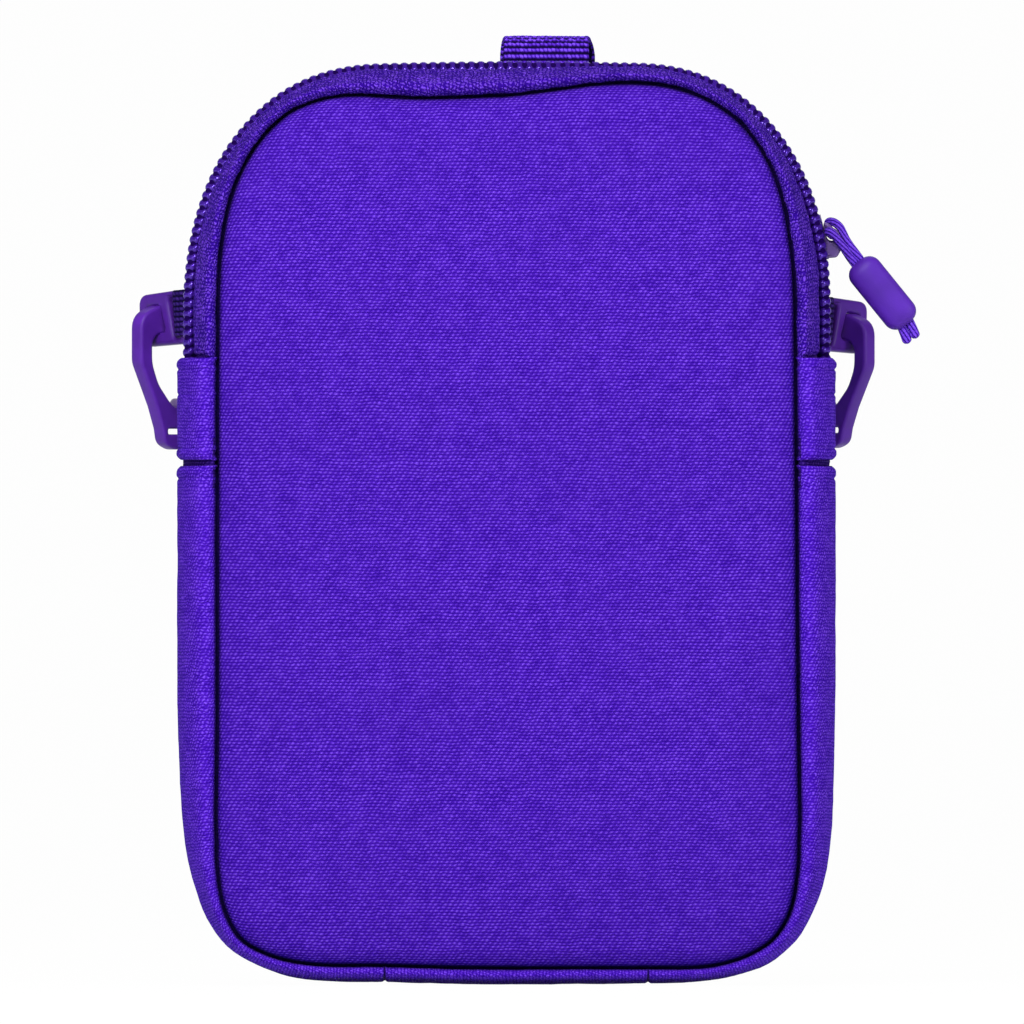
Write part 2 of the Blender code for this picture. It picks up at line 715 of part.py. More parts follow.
def build_slider():
    """Two wings joined by a thin web between the rows of teeth, with a bridge for the cord."""
    length = PATH.length_at_height(SLIDER_HEIGHT)
    x, z, nx, nz = PATH.at(length)
    turn = -math.atan2(nz, nx) * ZIP_TRAVEL_TILT_SHARE
    outwards = Vector((math.cos(turn), 0.0, -math.sin(turn)))
    pivot = Vector((x, 0.0, z)) - outwards * (ZIP_TRAVEL_RADIUS + ZIP_TRAVEL_SINK)
    travel = add_axis("zip_travel_axis", pivot, (0, turn, 0))
    home = (ZIP_TRAVEL_RADIUS, 0, 0)

    wing_low = -(TOOTH_DROP - SLIDER_GAP)
    wing_high = wing_low + SLIDER_WING
    floor_high = -(TOOTH_BASE_DROP + SEAM_GAP + TAPE_WALL + SLIDER_GAP)
    half_width = SLIDER_WIDTH / 2
    half_length = SLIDER_LENGTH / 2

    def wing_outline():
        nose = half_width / 2
        corners = ((-half_width, -half_length, half_width / 3), (half_width, -half_length, half_width / 3),
                   (half_width, half_length / 3, half_width / 2), (nose, half_length, half_width / 3),
                   (-nose, half_length, half_width / 3), (-half_width, half_length / 3, half_width / 2))
        return rounded_outline(corners, 2)

    def wing(low, high):
        return loft([[Vector((depth, across, along)) for across, along in wing_outline()]
                     for depth in (low, high)])

    body = add_object("slider_body", wing(wing_low, wing_high), "slider", home, parent=travel)
    pieces = {
        "slider_floor": wing(floor_high - SLIDER_WING, floor_high),
        "slider_web": bmesh.new(),
        "slider_lip_front": bmesh.new(),
        "slider_lip_back": bmesh.new(),
    }
    overlap = SLIDER_WING / 2
    half_web = SLIDER_WEB_WIDTH / 2
    box_between(pieces["slider_web"],
                (floor_high - overlap, -half_web, half_length / 3 - SLIDER_WEB_LENGTH),
                (wing_low + overlap, half_web, half_length / 3))
    for name, side in (("slider_lip_front", -1), ("slider_lip_back", 1)):
        ends = sorted((side * half_width, side * (half_width - SLIDER_LIP_WALL)))
        box_between(pieces[name], (wing_low - SLIDER_LIP_DEPTH, ends[0], half_width / 2 - half_length),
                    (wing_low + overlap, ends[1], half_length / 3 - half_width / 4))
    for name, mesh_data in pieces.items():
        union(body, add_object(name, mesh_data, "slider", home, parent=travel))

    hole_x, hole_z = slider_bridge_hole()
    hole_radius = CORD_DIAMETER / 2 + BRIDGE_HOLE_GAP
    bridge_top = hole_x + hole_radius + BRIDGE_WALL
    foot = wing_high - overlap
    half_bridge = BRIDGE_LENGTH / 2
    arch = rounded_outline(((foot, -half_bridge, 0.0), (bridge_top, -half_bridge, bridge_top / 2),
                            (bridge_top, half_bridge, bridge_top / 2), (foot, half_bridge, 0.0)), 4)
    bridge = loft([[Vector((out, depth, along)) for out, along in arch]
                   for depth in (-BRIDGE_WIDTH / 2, BRIDGE_WIDTH / 2)])
    union(body, add_object("slider_bridge", bridge, "slider", home, parent=travel))
    drill = bmesh.new()
    turned = Matrix.Translation((hole_x, 0, hole_z)) @ Matrix.Rotation(math.pi / 2, 4, "X")
    bmesh.ops.create_cone(drill, cap_ends=True, segments=BORE_SIDES, radius1=hole_radius,
                          radius2=hole_radius, depth=BRIDGE_WIDTH * 2, matrix=turned)
    cut_away(body, add_object("slider_bridge_drill", drill, "slider", home, parent=travel))
    return travel, Vector((ZIP_TRAVEL_RADIUS + hole_x, 0, hole_z)), turn


def cord_route(grip_centre, grip_direction, across):
    """Points of the doubled cord, from one tail through the grip, the bridge and back."""
    half = CORD_PAIR_PITCH / 2
    clear = BRIDGE_WIDTH / 2 + BRIDGE_HOLE_GAP + CORD_DIAMETER / 2
    tail = GRIP_LENGTH / 2 + CORD_TAIL
    mouth = -GRIP_LENGTH / 2

    def strand(side, shares):
        run = [grip_centre + grip_direction * along + across * (half * side)
               for along in (tail, 0.0, mouth)]
        run += [Vector((out * CORD_DIAMETER, -side * beside * clear, up * CORD_DIAMETER))
                for out, beside, up in shares]
        return run

    upper = strand(1.0, CORD_UPPER_SHARES)
    lower = strand(-1.0, CORD_LOWER_SHARES)
    return upper + lower[::-1]


def smooth_route(points, spacing):
    """Points read at an even spacing from a smooth curve through the route's own points."""
    ends = [points[0] * 2 - points[1]] + points + [points[-1] * 2 - points[-2]]
    fine = []
    for index in range(1, len(ends) - 2):
        before, start, end, after = ends[index - 1:index + 3]
        for step in range(12):
            t = step / 12
            fine.append(0.5 * (2 * start + (end - before) * t
                               + (2 * before - 5 * start + 4 * end - after) * t ** 2
                               + (3 * start - before - 3 * end + after) * t ** 3))
    fine.append(points[-1])
    gone = np.concatenate(([0.0], np.cumsum([(b - a).length for a, b in zip(fine, fine[1:])])))
    count = max(8, round(gone[-1] / spacing))
    wanted = np.linspace(0.0, gone[-1], count)
    columns = [np.interp(wanted, gone, [point[axis] for point in fine]) for axis in range(3)]
    return [Vector(row) for row in zip(*columns)]


def build_puller(travel, pivot, turn):
    """The doubled cord and its grip, hung on the slider's bridge."""
    swing = add_axis("puller_swing_axis", pivot, (0, -turn, 0), travel)
    tilt = math.radians(GRIP_TILT_DEG)
    direction = Vector((math.cos(tilt), 0, -math.sin(tilt)))
    across = Vector((math.sin(tilt), 0, math.cos(tilt)))
    centre = Vector((GRIP_REACH, 0, -GRIP_DROP))

    curve = bpy.data.curves.new("puller_cord", "CURVE")
    curve.dimensions = "3D"
    curve.bevel_depth = CORD_DIAMETER / 2
    curve.bevel_resolution = 2
    curve.use_fill_caps = True
    spline = curve.splines.new("POLY")
    points = smooth_route(cord_route(centre, direction, across), CORD_DIAMETER * 1.25)
    spline.points.add(len(points) - 1)
    for target, point in zip(spline.points, points):
        target.co = (*point, 1.0)
    curve.materials.append(material("cord"))
    cord = bpy.data.objects.new("puller_cord", curve)
    cord.parent = swing
    bpy.context.scene.collection.objects.link(cord)

    def section(along, scale, ridge):
        ring = []
        for index in range(GRIP_SECTION_POINTS):
            angle = 2 * math.pi * index / GRIP_SECTION_POINTS
            cosine, sine = math.cos(angle), math.sin(angle)
            shape = (abs(cosine) ** GRIP_SECTION_POWER + abs(sine) ** GRIP_SECTION_POWER) ** (
                -1 / GRIP_SECTION_POWER)
            wide = GRIP_WIDTH / 2 * scale * cosine * shape
            deep = (GRIP_THICKNESS / 2 * scale + ridge * abs(sine) ** 8) * sine * shape
            ring.append(Vector((wide, deep, along)))
        return ring

    rings = []
    half = GRIP_LENGTH / 2
    for share, scale in GRIP_END_SHARES:
        rings.append(section(-half + GRIP_LENGTH * share, scale, GRIP_RIDGE * share))
    for share, scale in reversed(GRIP_END_SHARES):
        rings.append(section(half - GRIP_LENGTH * share, scale, GRIP_RIDGE * share))
    grip_turn = (0, math.pi / 2 + tilt, 0)
    grip = add_object("puller_grip", loft(rings), "grip", centre, grip_turn, swing)

    bore_half = CORD_DIAMETER / 2 + GRIP_BORE_GAP
    bore_wide = bore_half + CORD_PAIR_PITCH / 2
    corners = ((-bore_wide, -bore_half, bore_half), (bore_wide, -bore_half, bore_half),
               (bore_wide, bore_half, bore_half), (-bore_wide, bore_half, bore_half))
    bore = loft([[Vector((wide, deep, along)) for wide, deep in rounded_outline(corners, 3)]
                 for along in (-GRIP_LENGTH, GRIP_LENGTH)])
    cut_away(grip, add_object("puller_grip_bore", bore, "grip", centre, grip_turn, swing))


def ring_sizes():
    """Stations of a side ring outwards from the bar that the webbing holds."""
    inner_edge = -RING_BAR / 2
    first = RING_BAR / 2
    middle_start = first + RING_INNER_WINDOW
    middle_end = middle_start + RING_MIDDLE_BAR
    window_end = middle_end + CLIP_THICKNESS + 2 * RING_WINDOW_GAP
    outer_edge = window_end + RING_BAR
    return inner_edge, first, middle_start, middle_end, window_end, outer_edge


def build_ring(side_name, side):
    """A webbing tab sewn into the back seam and the moulded two-window ring that it holds."""
    inner_edge, first, middle_start, middle_end, window_end, outer_edge = ring_sizes()
    half = RING_HEIGHT / 2
    slope = RING_TAPER / (outer_edge - inner_edge)

    def top(out):
        return half - slope * (out - inner_edge)

    outer = rounded_outline(((inner_edge, -half, RING_CORNER / 2), (outer_edge, -half, RING_CORNER),
                             (outer_edge, top(outer_edge), RING_CORNER),
                             (inner_edge, half, RING_CORNER / 2)), CLIP_CORNER_STEPS)

    def window(start, end, start_lean, end_lean, rail):
        radius = RING_BAR / 3
        corners = ((start - start_lean, rail - half, radius), (start, top(start) - rail, radius),
                   (end, top(end) - rail, radius), (end - end_lean, rail - half, radius))
        return rounded_outline(corners, 2)

    yaw = math.radians(RING_YAW_DEG)
    turn = yaw if side > 0 else math.pi - yaw
    location = (side * RING_SPREADS[side_name], RING_AXIS_DEPTH, RING_LEVELS[side_name])
    holder = add_axis("ring_axis_" + side_name, location, (0, math.radians(RING_ROLL_DEG), turn))
    windows = (window(first, middle_start, 0.0, RING_BAR_LEAN, RING_THIN_RAIL),
               window(middle_end, window_end, RING_BAR_LEAN, 0.0, RING_RAIL))
    plate = chamfered_plate(outer, windows, RING_THICKNESS, RING_BEVEL)
    add_object("side_ring_" + side_name, plate, "moulded", parent=holder)
    build_webbing_tab(side_name, side)
    return holder, (middle_end + window_end) / 2, half


def build_webbing_tab(side_name, side):
    """Webbing folded round the ring's inner bar, with both ends sewn into the back seam."""
    eye = math.hypot(RING_BAR, RING_THICKNESS) / 2 + WEBBING_GAP
    outer = eye + WEBBING_WALL
    axis = Vector((side * RING_SPREADS[side_name], RING_AXIS_DEPTH))
    seam_across = HALF_WIDTH - SIDE_SEAM_INSET + WEBBING_SEAM_LIFT
    seam = Vector((side * seam_across, HALF_DEPTH + WEBBING_SEAM_DEPTH))
    towards = (seam - axis).normalized()
    left = Vector((-towards.y, towards.x))
    reach = (seam - axis).length
    throat = outer * 1.35

    def arc(radius, start, end, steps):
        points = []
        for step in range(steps + 1):
            angle = start + (end - start) * step / steps
            points.append(towards * (radius * math.cos(angle)) + left * (radius * math.sin(angle)))
        return points

    open_angle = math.radians(62.0)
    skin = [towards * reach + left * WEBBING_WALL]
    skin += [towards * throat + left * WEBBING_WALL]
    skin += arc(outer, open_angle, 2 * math.pi - open_angle, 10)
    skin += [towards * throat - left * WEBBING_WALL, towards * reach - left * WEBBING_WALL]
    eye_points = arc(eye, 0.0, 2 * math.pi, 10)[:-1]
    height = RING_HEIGHT - RING_TAPER - 2 * RING_THIN_RAIL - 2 * WEBBING_GAP
    mesh_data = bmesh.new()
    rows = []
    for level in (-height / 2, height / 2):
        rows.append([[mesh_data.verts.new((point.x, point.y, level)) for point in loop]
                     for loop in (skin, eye_points)])
    for low_loop, high_loop in zip(*rows):
        count = len(low_loop)
        for index in range(count):
            other = (index + 1) % count
            mesh_data.faces.new((low_loop[index], low_loop[other], high_loop[other],
                                 high_loop[index]))
    for row in rows:
        flat = [vert for loop in row for vert in loop]
        polygons = [[Vector((vert.co.x, vert.co.y, 0.0)) for vert in loop] for loop in row]
        for triangle in tessellate_polygon(polygons):
            mesh_data.faces.new([flat[index] for index in triangle])
    location = (axis.x, axis.y, RING_LEVELS[side_name])
    roll = math.radians(RING_ROLL_DEG)
    add_object("webbing_tab_" + side_name, mesh_data, "webbing", location, (0, roll * side, 0))


def build_clip(side_name, holder, hang_out, ring_half):
    """A gated clip hung in the ring's outer window: its frame and the gate that closes it."""
    clip_height = CLIP_HEIGHTS[side_name]

    def scaled(corners):
        return [(across * CLIP_WIDTH, up * clip_height, radius * CLIP_WIDTH)
                for across, up, radius in corners]

    hang_across = CLIP_HANG_SHARE * CLIP_WIDTH
    hook_under = CLIP_NOSE_SHARES[-1][1] * clip_height
    bar_middle = -ring_half + RING_RAIL / 2
    axis_drop = RING_RAIL / 2 + CLIP_HANG_GAP
    outline = rounded_outline(scaled(CLIP_OUTER_SHARES + CLIP_NOSE_SHARES + CLIP_SPINE_SHARES
                                     + CLIP_EAR_SHARES), CLIP_CORNER_STEPS)
    slot_low = CLIP_SLOT_BAR
    slot = rounded_outline(((CLIP_SLOT_START_SHARE * CLIP_WIDTH, slot_low, CLIP_SLOT_HEIGHT / 3),
                            (CLIP_SLOT_END_SHARE * CLIP_WIDTH, slot_low, CLIP_SLOT_HEIGHT / 3),
                            (CLIP_SLOT_END_SHARE * CLIP_WIDTH, slot_low + CLIP_SLOT_HEIGHT,
                             CLIP_SLOT_HEIGHT / 3),
                            (CLIP_SLOT_START_SHARE * CLIP_WIDTH, slot_low + CLIP_SLOT_HEIGHT,
                             CLIP_SLOT_HEIGHT / 3)), 2)
    shift = Vector((hang_across, hook_under - axis_drop))

    def moved(points):
        return [(x - shift.x, z - shift.y) for x, z in points]

    turn = -math.pi / 2 if side_name == "left" else math.pi / 2
    place = Vector((hang_out, 0, bar_middle))
    swing = add_axis("clip_axis_" + side_name, place, (0, 0, 0), holder)
    swing.rotation_mode = "QUATERNION"
    upright = Euler((0, math.radians(RING_ROLL_DEG), 0)).to_quaternion().inverted()
    facing = Euler((0, 0, turn)).to_quaternion()
    swing.rotation_quaternion = upright @ facing
    frame_outline = moved(outline)[::-1]
    frame = chamfered_plate(frame_outline, (moved(slot)[::-1],), CLIP_THICKNESS, CLIP_BEVEL)
    add_object("clip_frame_" + side_name, frame, "moulded", parent=swing)

    low = GATE_LOW_SHARE * clip_height + GATE_GAP
    high = GATE_HIGH_SHARE * clip_height - GATE_GAP
    inner = GATE_INNER_SHARE * CLIP_WIDTH
    outer = GATE_OUTER_SHARE * CLIP_WIDTH
    radius = GATE_THICKNESS / 4
    gate = rounded_outline(((inner, low, radius), (outer, low, radius), (outer, high, radius),
                            (inner, high, radius)), 2)
    pivot = Vector(((inner + outer) / 2 - shift.x, low + (outer - inner) / 2 - shift.y))
    hinge = add_axis("gate_axis_" + side_name, (pivot.x, 0, pivot.y), (0, 0, 0), swing)
    plate = chamfered_plate([(x - pivot.x, z - pivot.y) for x, z in moved(gate)], (),
                            GATE_THICKNESS, GATE_BEVEL)
    add_object("clip_gate_" + side_name, plate, "moulded", parent=hinge)


def build_top_loop():
    """A ribbed webbing loop that stands over the rear strip, sewn down at both ends."""
    middle = (LOOP_FRONT_DEPTH + LOOP_BACK_DEPTH) / 2
    half_span = (LOOP_BACK_DEPTH - LOOP_FRONT_DEPTH) / 2

    def foot(depth):
        share = (depth - STRIP_EDGE) / (HALF_DEPTH - STRIP_EDGE)
        drop = STRIP_DROP + (TOP_SEAM_INSET - STRIP_DROP) * share ** STRIP_POWER
        return BODY_HEIGHT - drop + SEAM_GAP

    foot_front = foot(LOOP_FRONT_DEPTH)
    foot_back = foot(LOOP_BACK_DEPTH)
    crest = BODY_HEIGHT + LOOP_RISE - LOOP_WALL
    rings = []
    steps = 2 * LOOP_RIB_COUNT
    for index in range(steps + 1):
        angle = math.pi * index / steps
        depth = middle - half_span * math.cos(angle)
        base = foot_front + (foot_back - foot_front) * index / steps
        height = base + (crest - base) * math.sin(angle) ** 0.6
        normal = Vector((0, -math.cos(angle) * 1.2, math.sin(angle))).normalized()
        if index in (0, steps):
            normal = Vector((0, -1.0 if index == 0 else 1.0, 0))
        wall = LOOP_WALL + (LOOP_RIB if index % 2 else 0.0)
        skew = LOOP_SKEW * index / steps
        left = LOOP_OFFSET - LOOP_WIDTH / 2 + skew
        right = left + LOOP_WIDTH
        inner = Vector((0, depth, height))
        outer = inner + normal * wall
        rings.append([Vector((left, inner.y, inner.z)), Vector((right, inner.y, inner.z)),
                      Vector((right, outer.y, outer.z)), Vector((left, outer.y, outer.z))])
    add_object("top_loop", loft(rings), "webbing")


def main():
    clear_objects()
    build_panels()
    build_gusset()
    build_zip()
    travel, pivot, turn = build_slider()
    build_puller(travel, pivot, turn)
    for side_name, side in (("right", 1), ("left", -1)):
        holder, hang_out, ring_half = build_ring(side_name, side)
        build_clip(side_name, holder, hang_out, ring_half)
    build_top_loop()


main()
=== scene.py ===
"""Looks of a small zip pouch: woven cloth, coil zip, webbing, moulded rings and gated clips.

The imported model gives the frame. Cloth bands follow the same crown path as the solids, so
each piece lies where its node is; their sections, seams and hems come from the photograph.
"""

import math

import bmesh
import bpy
import numpy as np
from mathutils import Euler, Matrix, Vector, noise
from mathutils.geometry import tessellate_polygon


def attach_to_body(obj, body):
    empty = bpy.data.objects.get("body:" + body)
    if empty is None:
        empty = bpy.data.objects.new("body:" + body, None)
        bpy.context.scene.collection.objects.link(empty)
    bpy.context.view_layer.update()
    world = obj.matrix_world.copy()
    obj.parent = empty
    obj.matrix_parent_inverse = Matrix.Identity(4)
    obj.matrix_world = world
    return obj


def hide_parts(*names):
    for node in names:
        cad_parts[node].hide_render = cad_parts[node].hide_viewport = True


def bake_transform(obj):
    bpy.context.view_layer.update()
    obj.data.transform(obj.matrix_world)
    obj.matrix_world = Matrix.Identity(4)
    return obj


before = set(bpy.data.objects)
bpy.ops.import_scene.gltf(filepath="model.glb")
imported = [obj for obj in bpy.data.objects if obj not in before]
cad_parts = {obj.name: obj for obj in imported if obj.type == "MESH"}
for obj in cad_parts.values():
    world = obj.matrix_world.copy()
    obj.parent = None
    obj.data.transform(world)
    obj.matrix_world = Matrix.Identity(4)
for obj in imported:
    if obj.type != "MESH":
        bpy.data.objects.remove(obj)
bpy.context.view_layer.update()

# Crown path, as in the solids
BODY_WIDTH = 0.1200
BODY_HEIGHT = 0.1690
BODY_DEPTH = 0.0440
TOP_CORNER_WIDTH = 0.0368
TOP_CORNER_HEIGHT = 0.0458
TOP_CORNER_POWER = 2.2
BOTTOM_CORNER_WIDTH = 0.0300
BOTTOM_CORNER_HEIGHT = 0.0330
BOTTOM_CORNER_POWER = 2.4
HALF_WIDTH = BODY_WIDTH / 2
HALF_DEPTH = BODY_DEPTH / 2
MIDDLE_HEIGHT = BODY_HEIGHT / 2
MIDDLE = (0.0, 0.0, MIDDLE_HEIGHT)
PATH_SAMPLES = 6000
CORNER_SAMPLES = 800

# How far the seam of a panel lies inside the crown path: share of the way round from the
# middle of the base, and share of the inset at the sides
SEAM_INSET = 0.0070
FRONT_SEAM_SHARES = (
    (0.0, 0.40), (0.06, 0.41), (0.083, 0.37), (0.099, 0.34), (0.109, 0.44), (0.117, 0.57),
    (0.125, 0.70), (0.141, 0.87), (0.17, 0.91), (0.21, 0.94), (0.262, 0.97), (0.34, 1.02),
    (0.355, 0.99), (0.372, 0.88), (0.389, 0.77), (0.409, 0.67), (0.430, 0.65), (0.460, 0.61),
    (0.471, 0.66), (0.485, 0.81), (0.499, 0.94), (0.520, 1.00), (0.534, 1.01), (0.548, 0.94),
    (0.565, 0.83), (0.583, 0.73), (0.600, 0.77), (0.620, 0.85), (0.644, 0.97), (0.660, 1.02),
    (0.700, 1.00), (0.820, 1.00), (0.859, 0.95), (0.875, 0.77), (0.883, 0.63), (0.892, 0.49),
    (0.901, 0.36), (0.914, 0.42), (0.930, 0.47), (0.956, 0.47), (0.980, 0.42), (1.0, 0.40),
)
SEAM_NEAR_SHARE = 0.0045
SEAM_GROOVE = 0.00042
SEAM_VALLEY = 0.0024
SEAM_SHOULDER = 0.0034
SEAM_SHADE = 0.0022
SEAM_DEPTH = HALF_DEPTH - SEAM_VALLEY
BACK_SEAM_TOP = 0.0062
BACK_SEAM_BASE = 0.0029

# How far the side cloth stands in from the path: share of the way round, metres
SIDE_INSETS = (
    (0.0, 0.0), (0.05, 0.0002), (0.07, 0.0004), (0.084, 0.0), (0.092, -0.0005),
    (0.099, -0.0005), (0.107, -0.0004), (0.116, 0.0001), (0.134, 0.0005), (0.143, 0.00065),
    (0.165, 0.0003), (0.19, 0.0), (0.81, 0.0), (0.835, 0.0004), (0.857, 0.0010),
    (0.875, 0.00115), (0.884, 0.00076), (0.894, 0.0003), (0.902, 0.0001), (0.911, 0.0005),
    (0.937, 0.0006), (0.96, 0.0004), (1.0, 0.0),
)

# Sections of the gusset and of a zip strip from the seam inwards: share of the way from the
# seam's inset to the band's own, metres further out, metres of depth
SIDE_SECTION = ((0.0, -0.00005, 0.0188), (0.0, 0.0001, 0.0206), (0.07, 0.0004, 0.0220),
                (0.24, 0.0003, 0.0227), (0.50, 0.0, 0.0215), (0.76, 0.0, 0.0178),
                (0.93, 0.0, 0.0134), (1.0, 0.0, 0.0085))
STRIP_SECTION = ((0.0, -0.00005, 0.0188), (0.0, 0.0001, 0.0206), (0.10, 0.0004, 0.0221),
                 (0.34, 0.0003, 0.0225), (0.62, 0.0, 0.0207), (0.88, 0.0, 0.0170),
                 (1.0, 0.0, 0.0128))
BINDING_SECTION = ((-0.0006, 0.0184), (0.0, 0.0189), (0.0008, 0.0189), (0.0024, 0.0184))

# How far a zip strip stands in the outline: share of the way round, share of STRIP_DROP
STRIP_BULGE_SHARES = ((0.0, 1.0), (0.36, 0.98), (0.40, 0.84), (0.44, 0.55), (0.47, 0.50),
                      (0.50, 0.66), (0.55, 0.70), (0.59, 0.80), (0.64, 0.98), (1.0, 1.0))

# Heights of the cloth bands on the sides
GUSSET_TOP = 0.0946
TAB_BOTTOM = 0.0957
TAB_TOP = 0.1143
HEM = 0.0023
TAB_HEM = 0.0021
TAB_CREASE_DROP = 0.0067
BOTTOM_SEAM_LEFT = 0.0222
BOTTOM_SEAM_RIGHT = 0.0258

# Cloth
CLOTH_WALL = 0.0006
LINING_WALL = 0.0005
PANEL_RISE = 0.0032
BACK_RISE = 0.0016
WARP_PITCH = 0.000455
WEFT_PITCH = 0.00060
WEAVE_DEPTH = 0.00012

# Detail of the cloth, in metres: even rows beside a panel's seam, how far the padding takes to
# rise, waves and puckers, hems, stitched creases, ends in a seam, and ends tucked under a tab
PANEL_BAND = 0.008
CROWN_REACH = 0.0085
WAVE_HEIGHT, WAVE_LUMP, WAVE_START = 0.00022, 0.030, 0.010
PUCKER_HEIGHT, PUCKER_LUMP, PUCKER_START, PUCKER_REACH = 0.00030, 0.0055, 0.0015, 0.0045
HEM_ROUND, HEM_ROUND_WIDTH, HEM_RISE = 0.00085, 0.0011, 0.00014
STITCH_SINK, STITCH_WIDTH = 0.00026, 0.00030
CREASE_SINK, CREASE_WIDTH = 0.00022, 0.00026
END_SINK, END_WIDTH = 0.00030, 0.00030
TUCK, TUCK_HALF, TUCK_FADE = 0.0011, 0.0010, 0.0012

# Zip
STRIP_EDGE_DEPTH = 0.0076
STRIP_DROP = 0.0031
STRIP_TAIL = 0.0012
COIL_PITCH = 0.00175
COIL_FILAMENT = 0.00037
COIL_LOBE = 0.00050
COIL_CORE = 0.00112
COIL_CORE_DEPTH = 0.00100
COIL_HEAD = 0.00036
COIL_DROP = 0.00224
COIL_HALF_HEIGHT = 0.00092
COIL_HALF_WIDTH = 0.00118
COIL_MIDDLE = 0.00232
COIL_TURN_STEPS = 20
COIL_SIDES = 10
COIL_INSET_BASE = 0.00088
COIL_SLANT = 0.66
COIL_SLANT_DEG = 42
COIL_BACK_REACH = 1.25
COIL_TAIL = 0.0022

# Lobes of a turn of the filament: degrees round the bend, spread in radians, share of COIL_LOBE
COIL_LOBES = ((84, 0.44, 1.0), (-6, 0.46, 0.95), (-80, 0.50, 0.8))

# How far the teeth stand in from the path at their outer edge: share of the way round, metres
COIL_INSETS = ((0.0, 0.00088), (0.36, 0.00080), (0.41, 0.00088), (0.45, 0.00082),
               (0.475, 0.0006), (0.50, 0.00048), (0.53, 0.0007), (0.56, 0.00115),
               (0.60, 0.0014), (0.64, 0.0012), (0.67, 0.00095), (1.0, 0.00088))
TAPE_DROP = 0.0046
TAPE_WIDTH = 0.0092
TAPE_WALL = 0.0005
TAPE_TAIL = 0.0040

# Side rings, as in the solids
RING_HEIGHT = 0.0100
RING_INNER_EDGE = -0.00075
RING_WINDOW_START = 0.00075
RING_MIDDLE_START = 0.00430
RING_MIDDLE_END = 0.00665
RING_WINDOW_END = 0.01045
RING_OUTER_EDGE = 0.01255
RING_RAIL = 0.0024
RING_THIN_RAIL = 0.0012
RING_TAPER = 0.0005
RING_LEAN = 0.0016
RING_CORNER = 0.0022
RING_INNER_CORNER = 0.0010
RING_WINDOW_CORNER = 0.0009
RING_THICKNESS = 0.0026
RING_ROUND = 0.00070
RING_YAW_DEG = 50.0
RING_ROLL_DEG = 3.0
RING_DEPTH = 0.0195
RING_SPREADS = {"left": 0.0584, "right": 0.0572}
RING_LEVELS = {"left": 0.1220, "right": 0.12075}
WEBBING_WALL = 0.0009
WEBBING_EYE = 0.00160
WEBBING_LOW = -0.0035
WEBBING_HIGH = 0.0049
WEBBING_ROW = 0.00094
WEBBING_RIB = 0.00011
WEBBING_RIM = 0.0003
WEBBING_RIM_WIDTH = 0.0005
WEBBING_HALF_GAP = 0.0009
WEBBING_HALF_NECK = 0.0011
WEBBING_EYE_DEG = 55.0
WEBBING_SEWN_IN = 0.0060

# Gated clips
CLIP_WIDTH = 0.0160
CLIP_HEIGHTS = {"left": 0.0263, "right": 0.0245}
CLIP_THICKNESS = 0.0032
CLIP_ROUND = 0.00062
CLIP_HANG_SHARE = 0.35
CLIP_HOOK_SHARE = 0.842
CLIP_HANG_RISE = 0.0010
CLIP_HANG_OUT = 0.00825
CLIP_AXIS_DROP = 0.0022
CLIP_SLOT_LOW = 0.0028
CLIP_SLOT_HEIGHT = 0.0010
CLIP_SLOT_CORNER = 0.0004
GATE_THICKNESS = 0.0024
GATE_GAP = 0.0003
GATE_CORNER = 0.0008
EDGE_ROUND = 0.0005
RIVET_RADIUS = 0.0012

# Outline of a clip, as shares of its width and height, with each corner's radius as a share
# of the width
CLIP_SHARES = (
    (0.50, 0.000, 0.22), (0.355, 0.040, 0.20), (0.325, 0.145, 0.20), (0.235, 0.300, 0.20),
    (0.0, 0.605, 0.26), (0.0, 0.935, 0.30), (0.30, 1.010, 0.26), (0.66, 0.975, 0.26),
    (0.885, 0.890, 0.16), (0.90, 0.775, 0.05),
    (0.78, 0.770, 0.05), (0.75, 0.800, 0.10), (0.52, 0.802, 0.18), (0.24, 0.802, 0.18),
    (0.178, 0.740, 0.20), (0.178, 0.600, 0.45), (0.27, 0.455, 0.45), (0.42, 0.345, 0.35),
    (0.51, 0.292, 0.12), (0.60, 0.292, 0.06), (0.64, 0.262, 0.05),
    (0.80, 0.262, 0.04), (0.93, 0.262, 0.06), (0.965, 0.190, 0.10), (0.965, 0.040, 0.10),
    (0.90, 0.000, 0.10),
)
CLIP_SLOT_SHARES = (0.415, 0.875)
GATE_SHARES = (0.795, 0.905, 0.262, 0.770)
RIVET_SHARES = (0.63, 0.312)
RIVET_HALF_SHARE = 0.40
RIVET_DOME = ((0.84, 1.0), (0.93, 0.88), (0.99, 0.6), (1.0, 0.25))

# Top loop
LOOP_LEFT = -0.00058
LOOP_RIGHT = 0.01510
LOOP_CREST = 0.17335
LOOP_FOOT = 0.1635
LOOP_FRONT_DEPTH = 0.0092
LOOP_BACK_DEPTH = 0.0200
LOOP_WALL = 0.0010
LOOP_ROW = 0.00122
LOOP_BUMP = 0.00146
LOOP_RIB = 0.00048
LOOP_WAVE = 0.00010
LOOP_HEM = 0.0003
LOOP_SPREAD_LEFT = 0.0006
LOOP_SPREAD_RIGHT = 0.0011

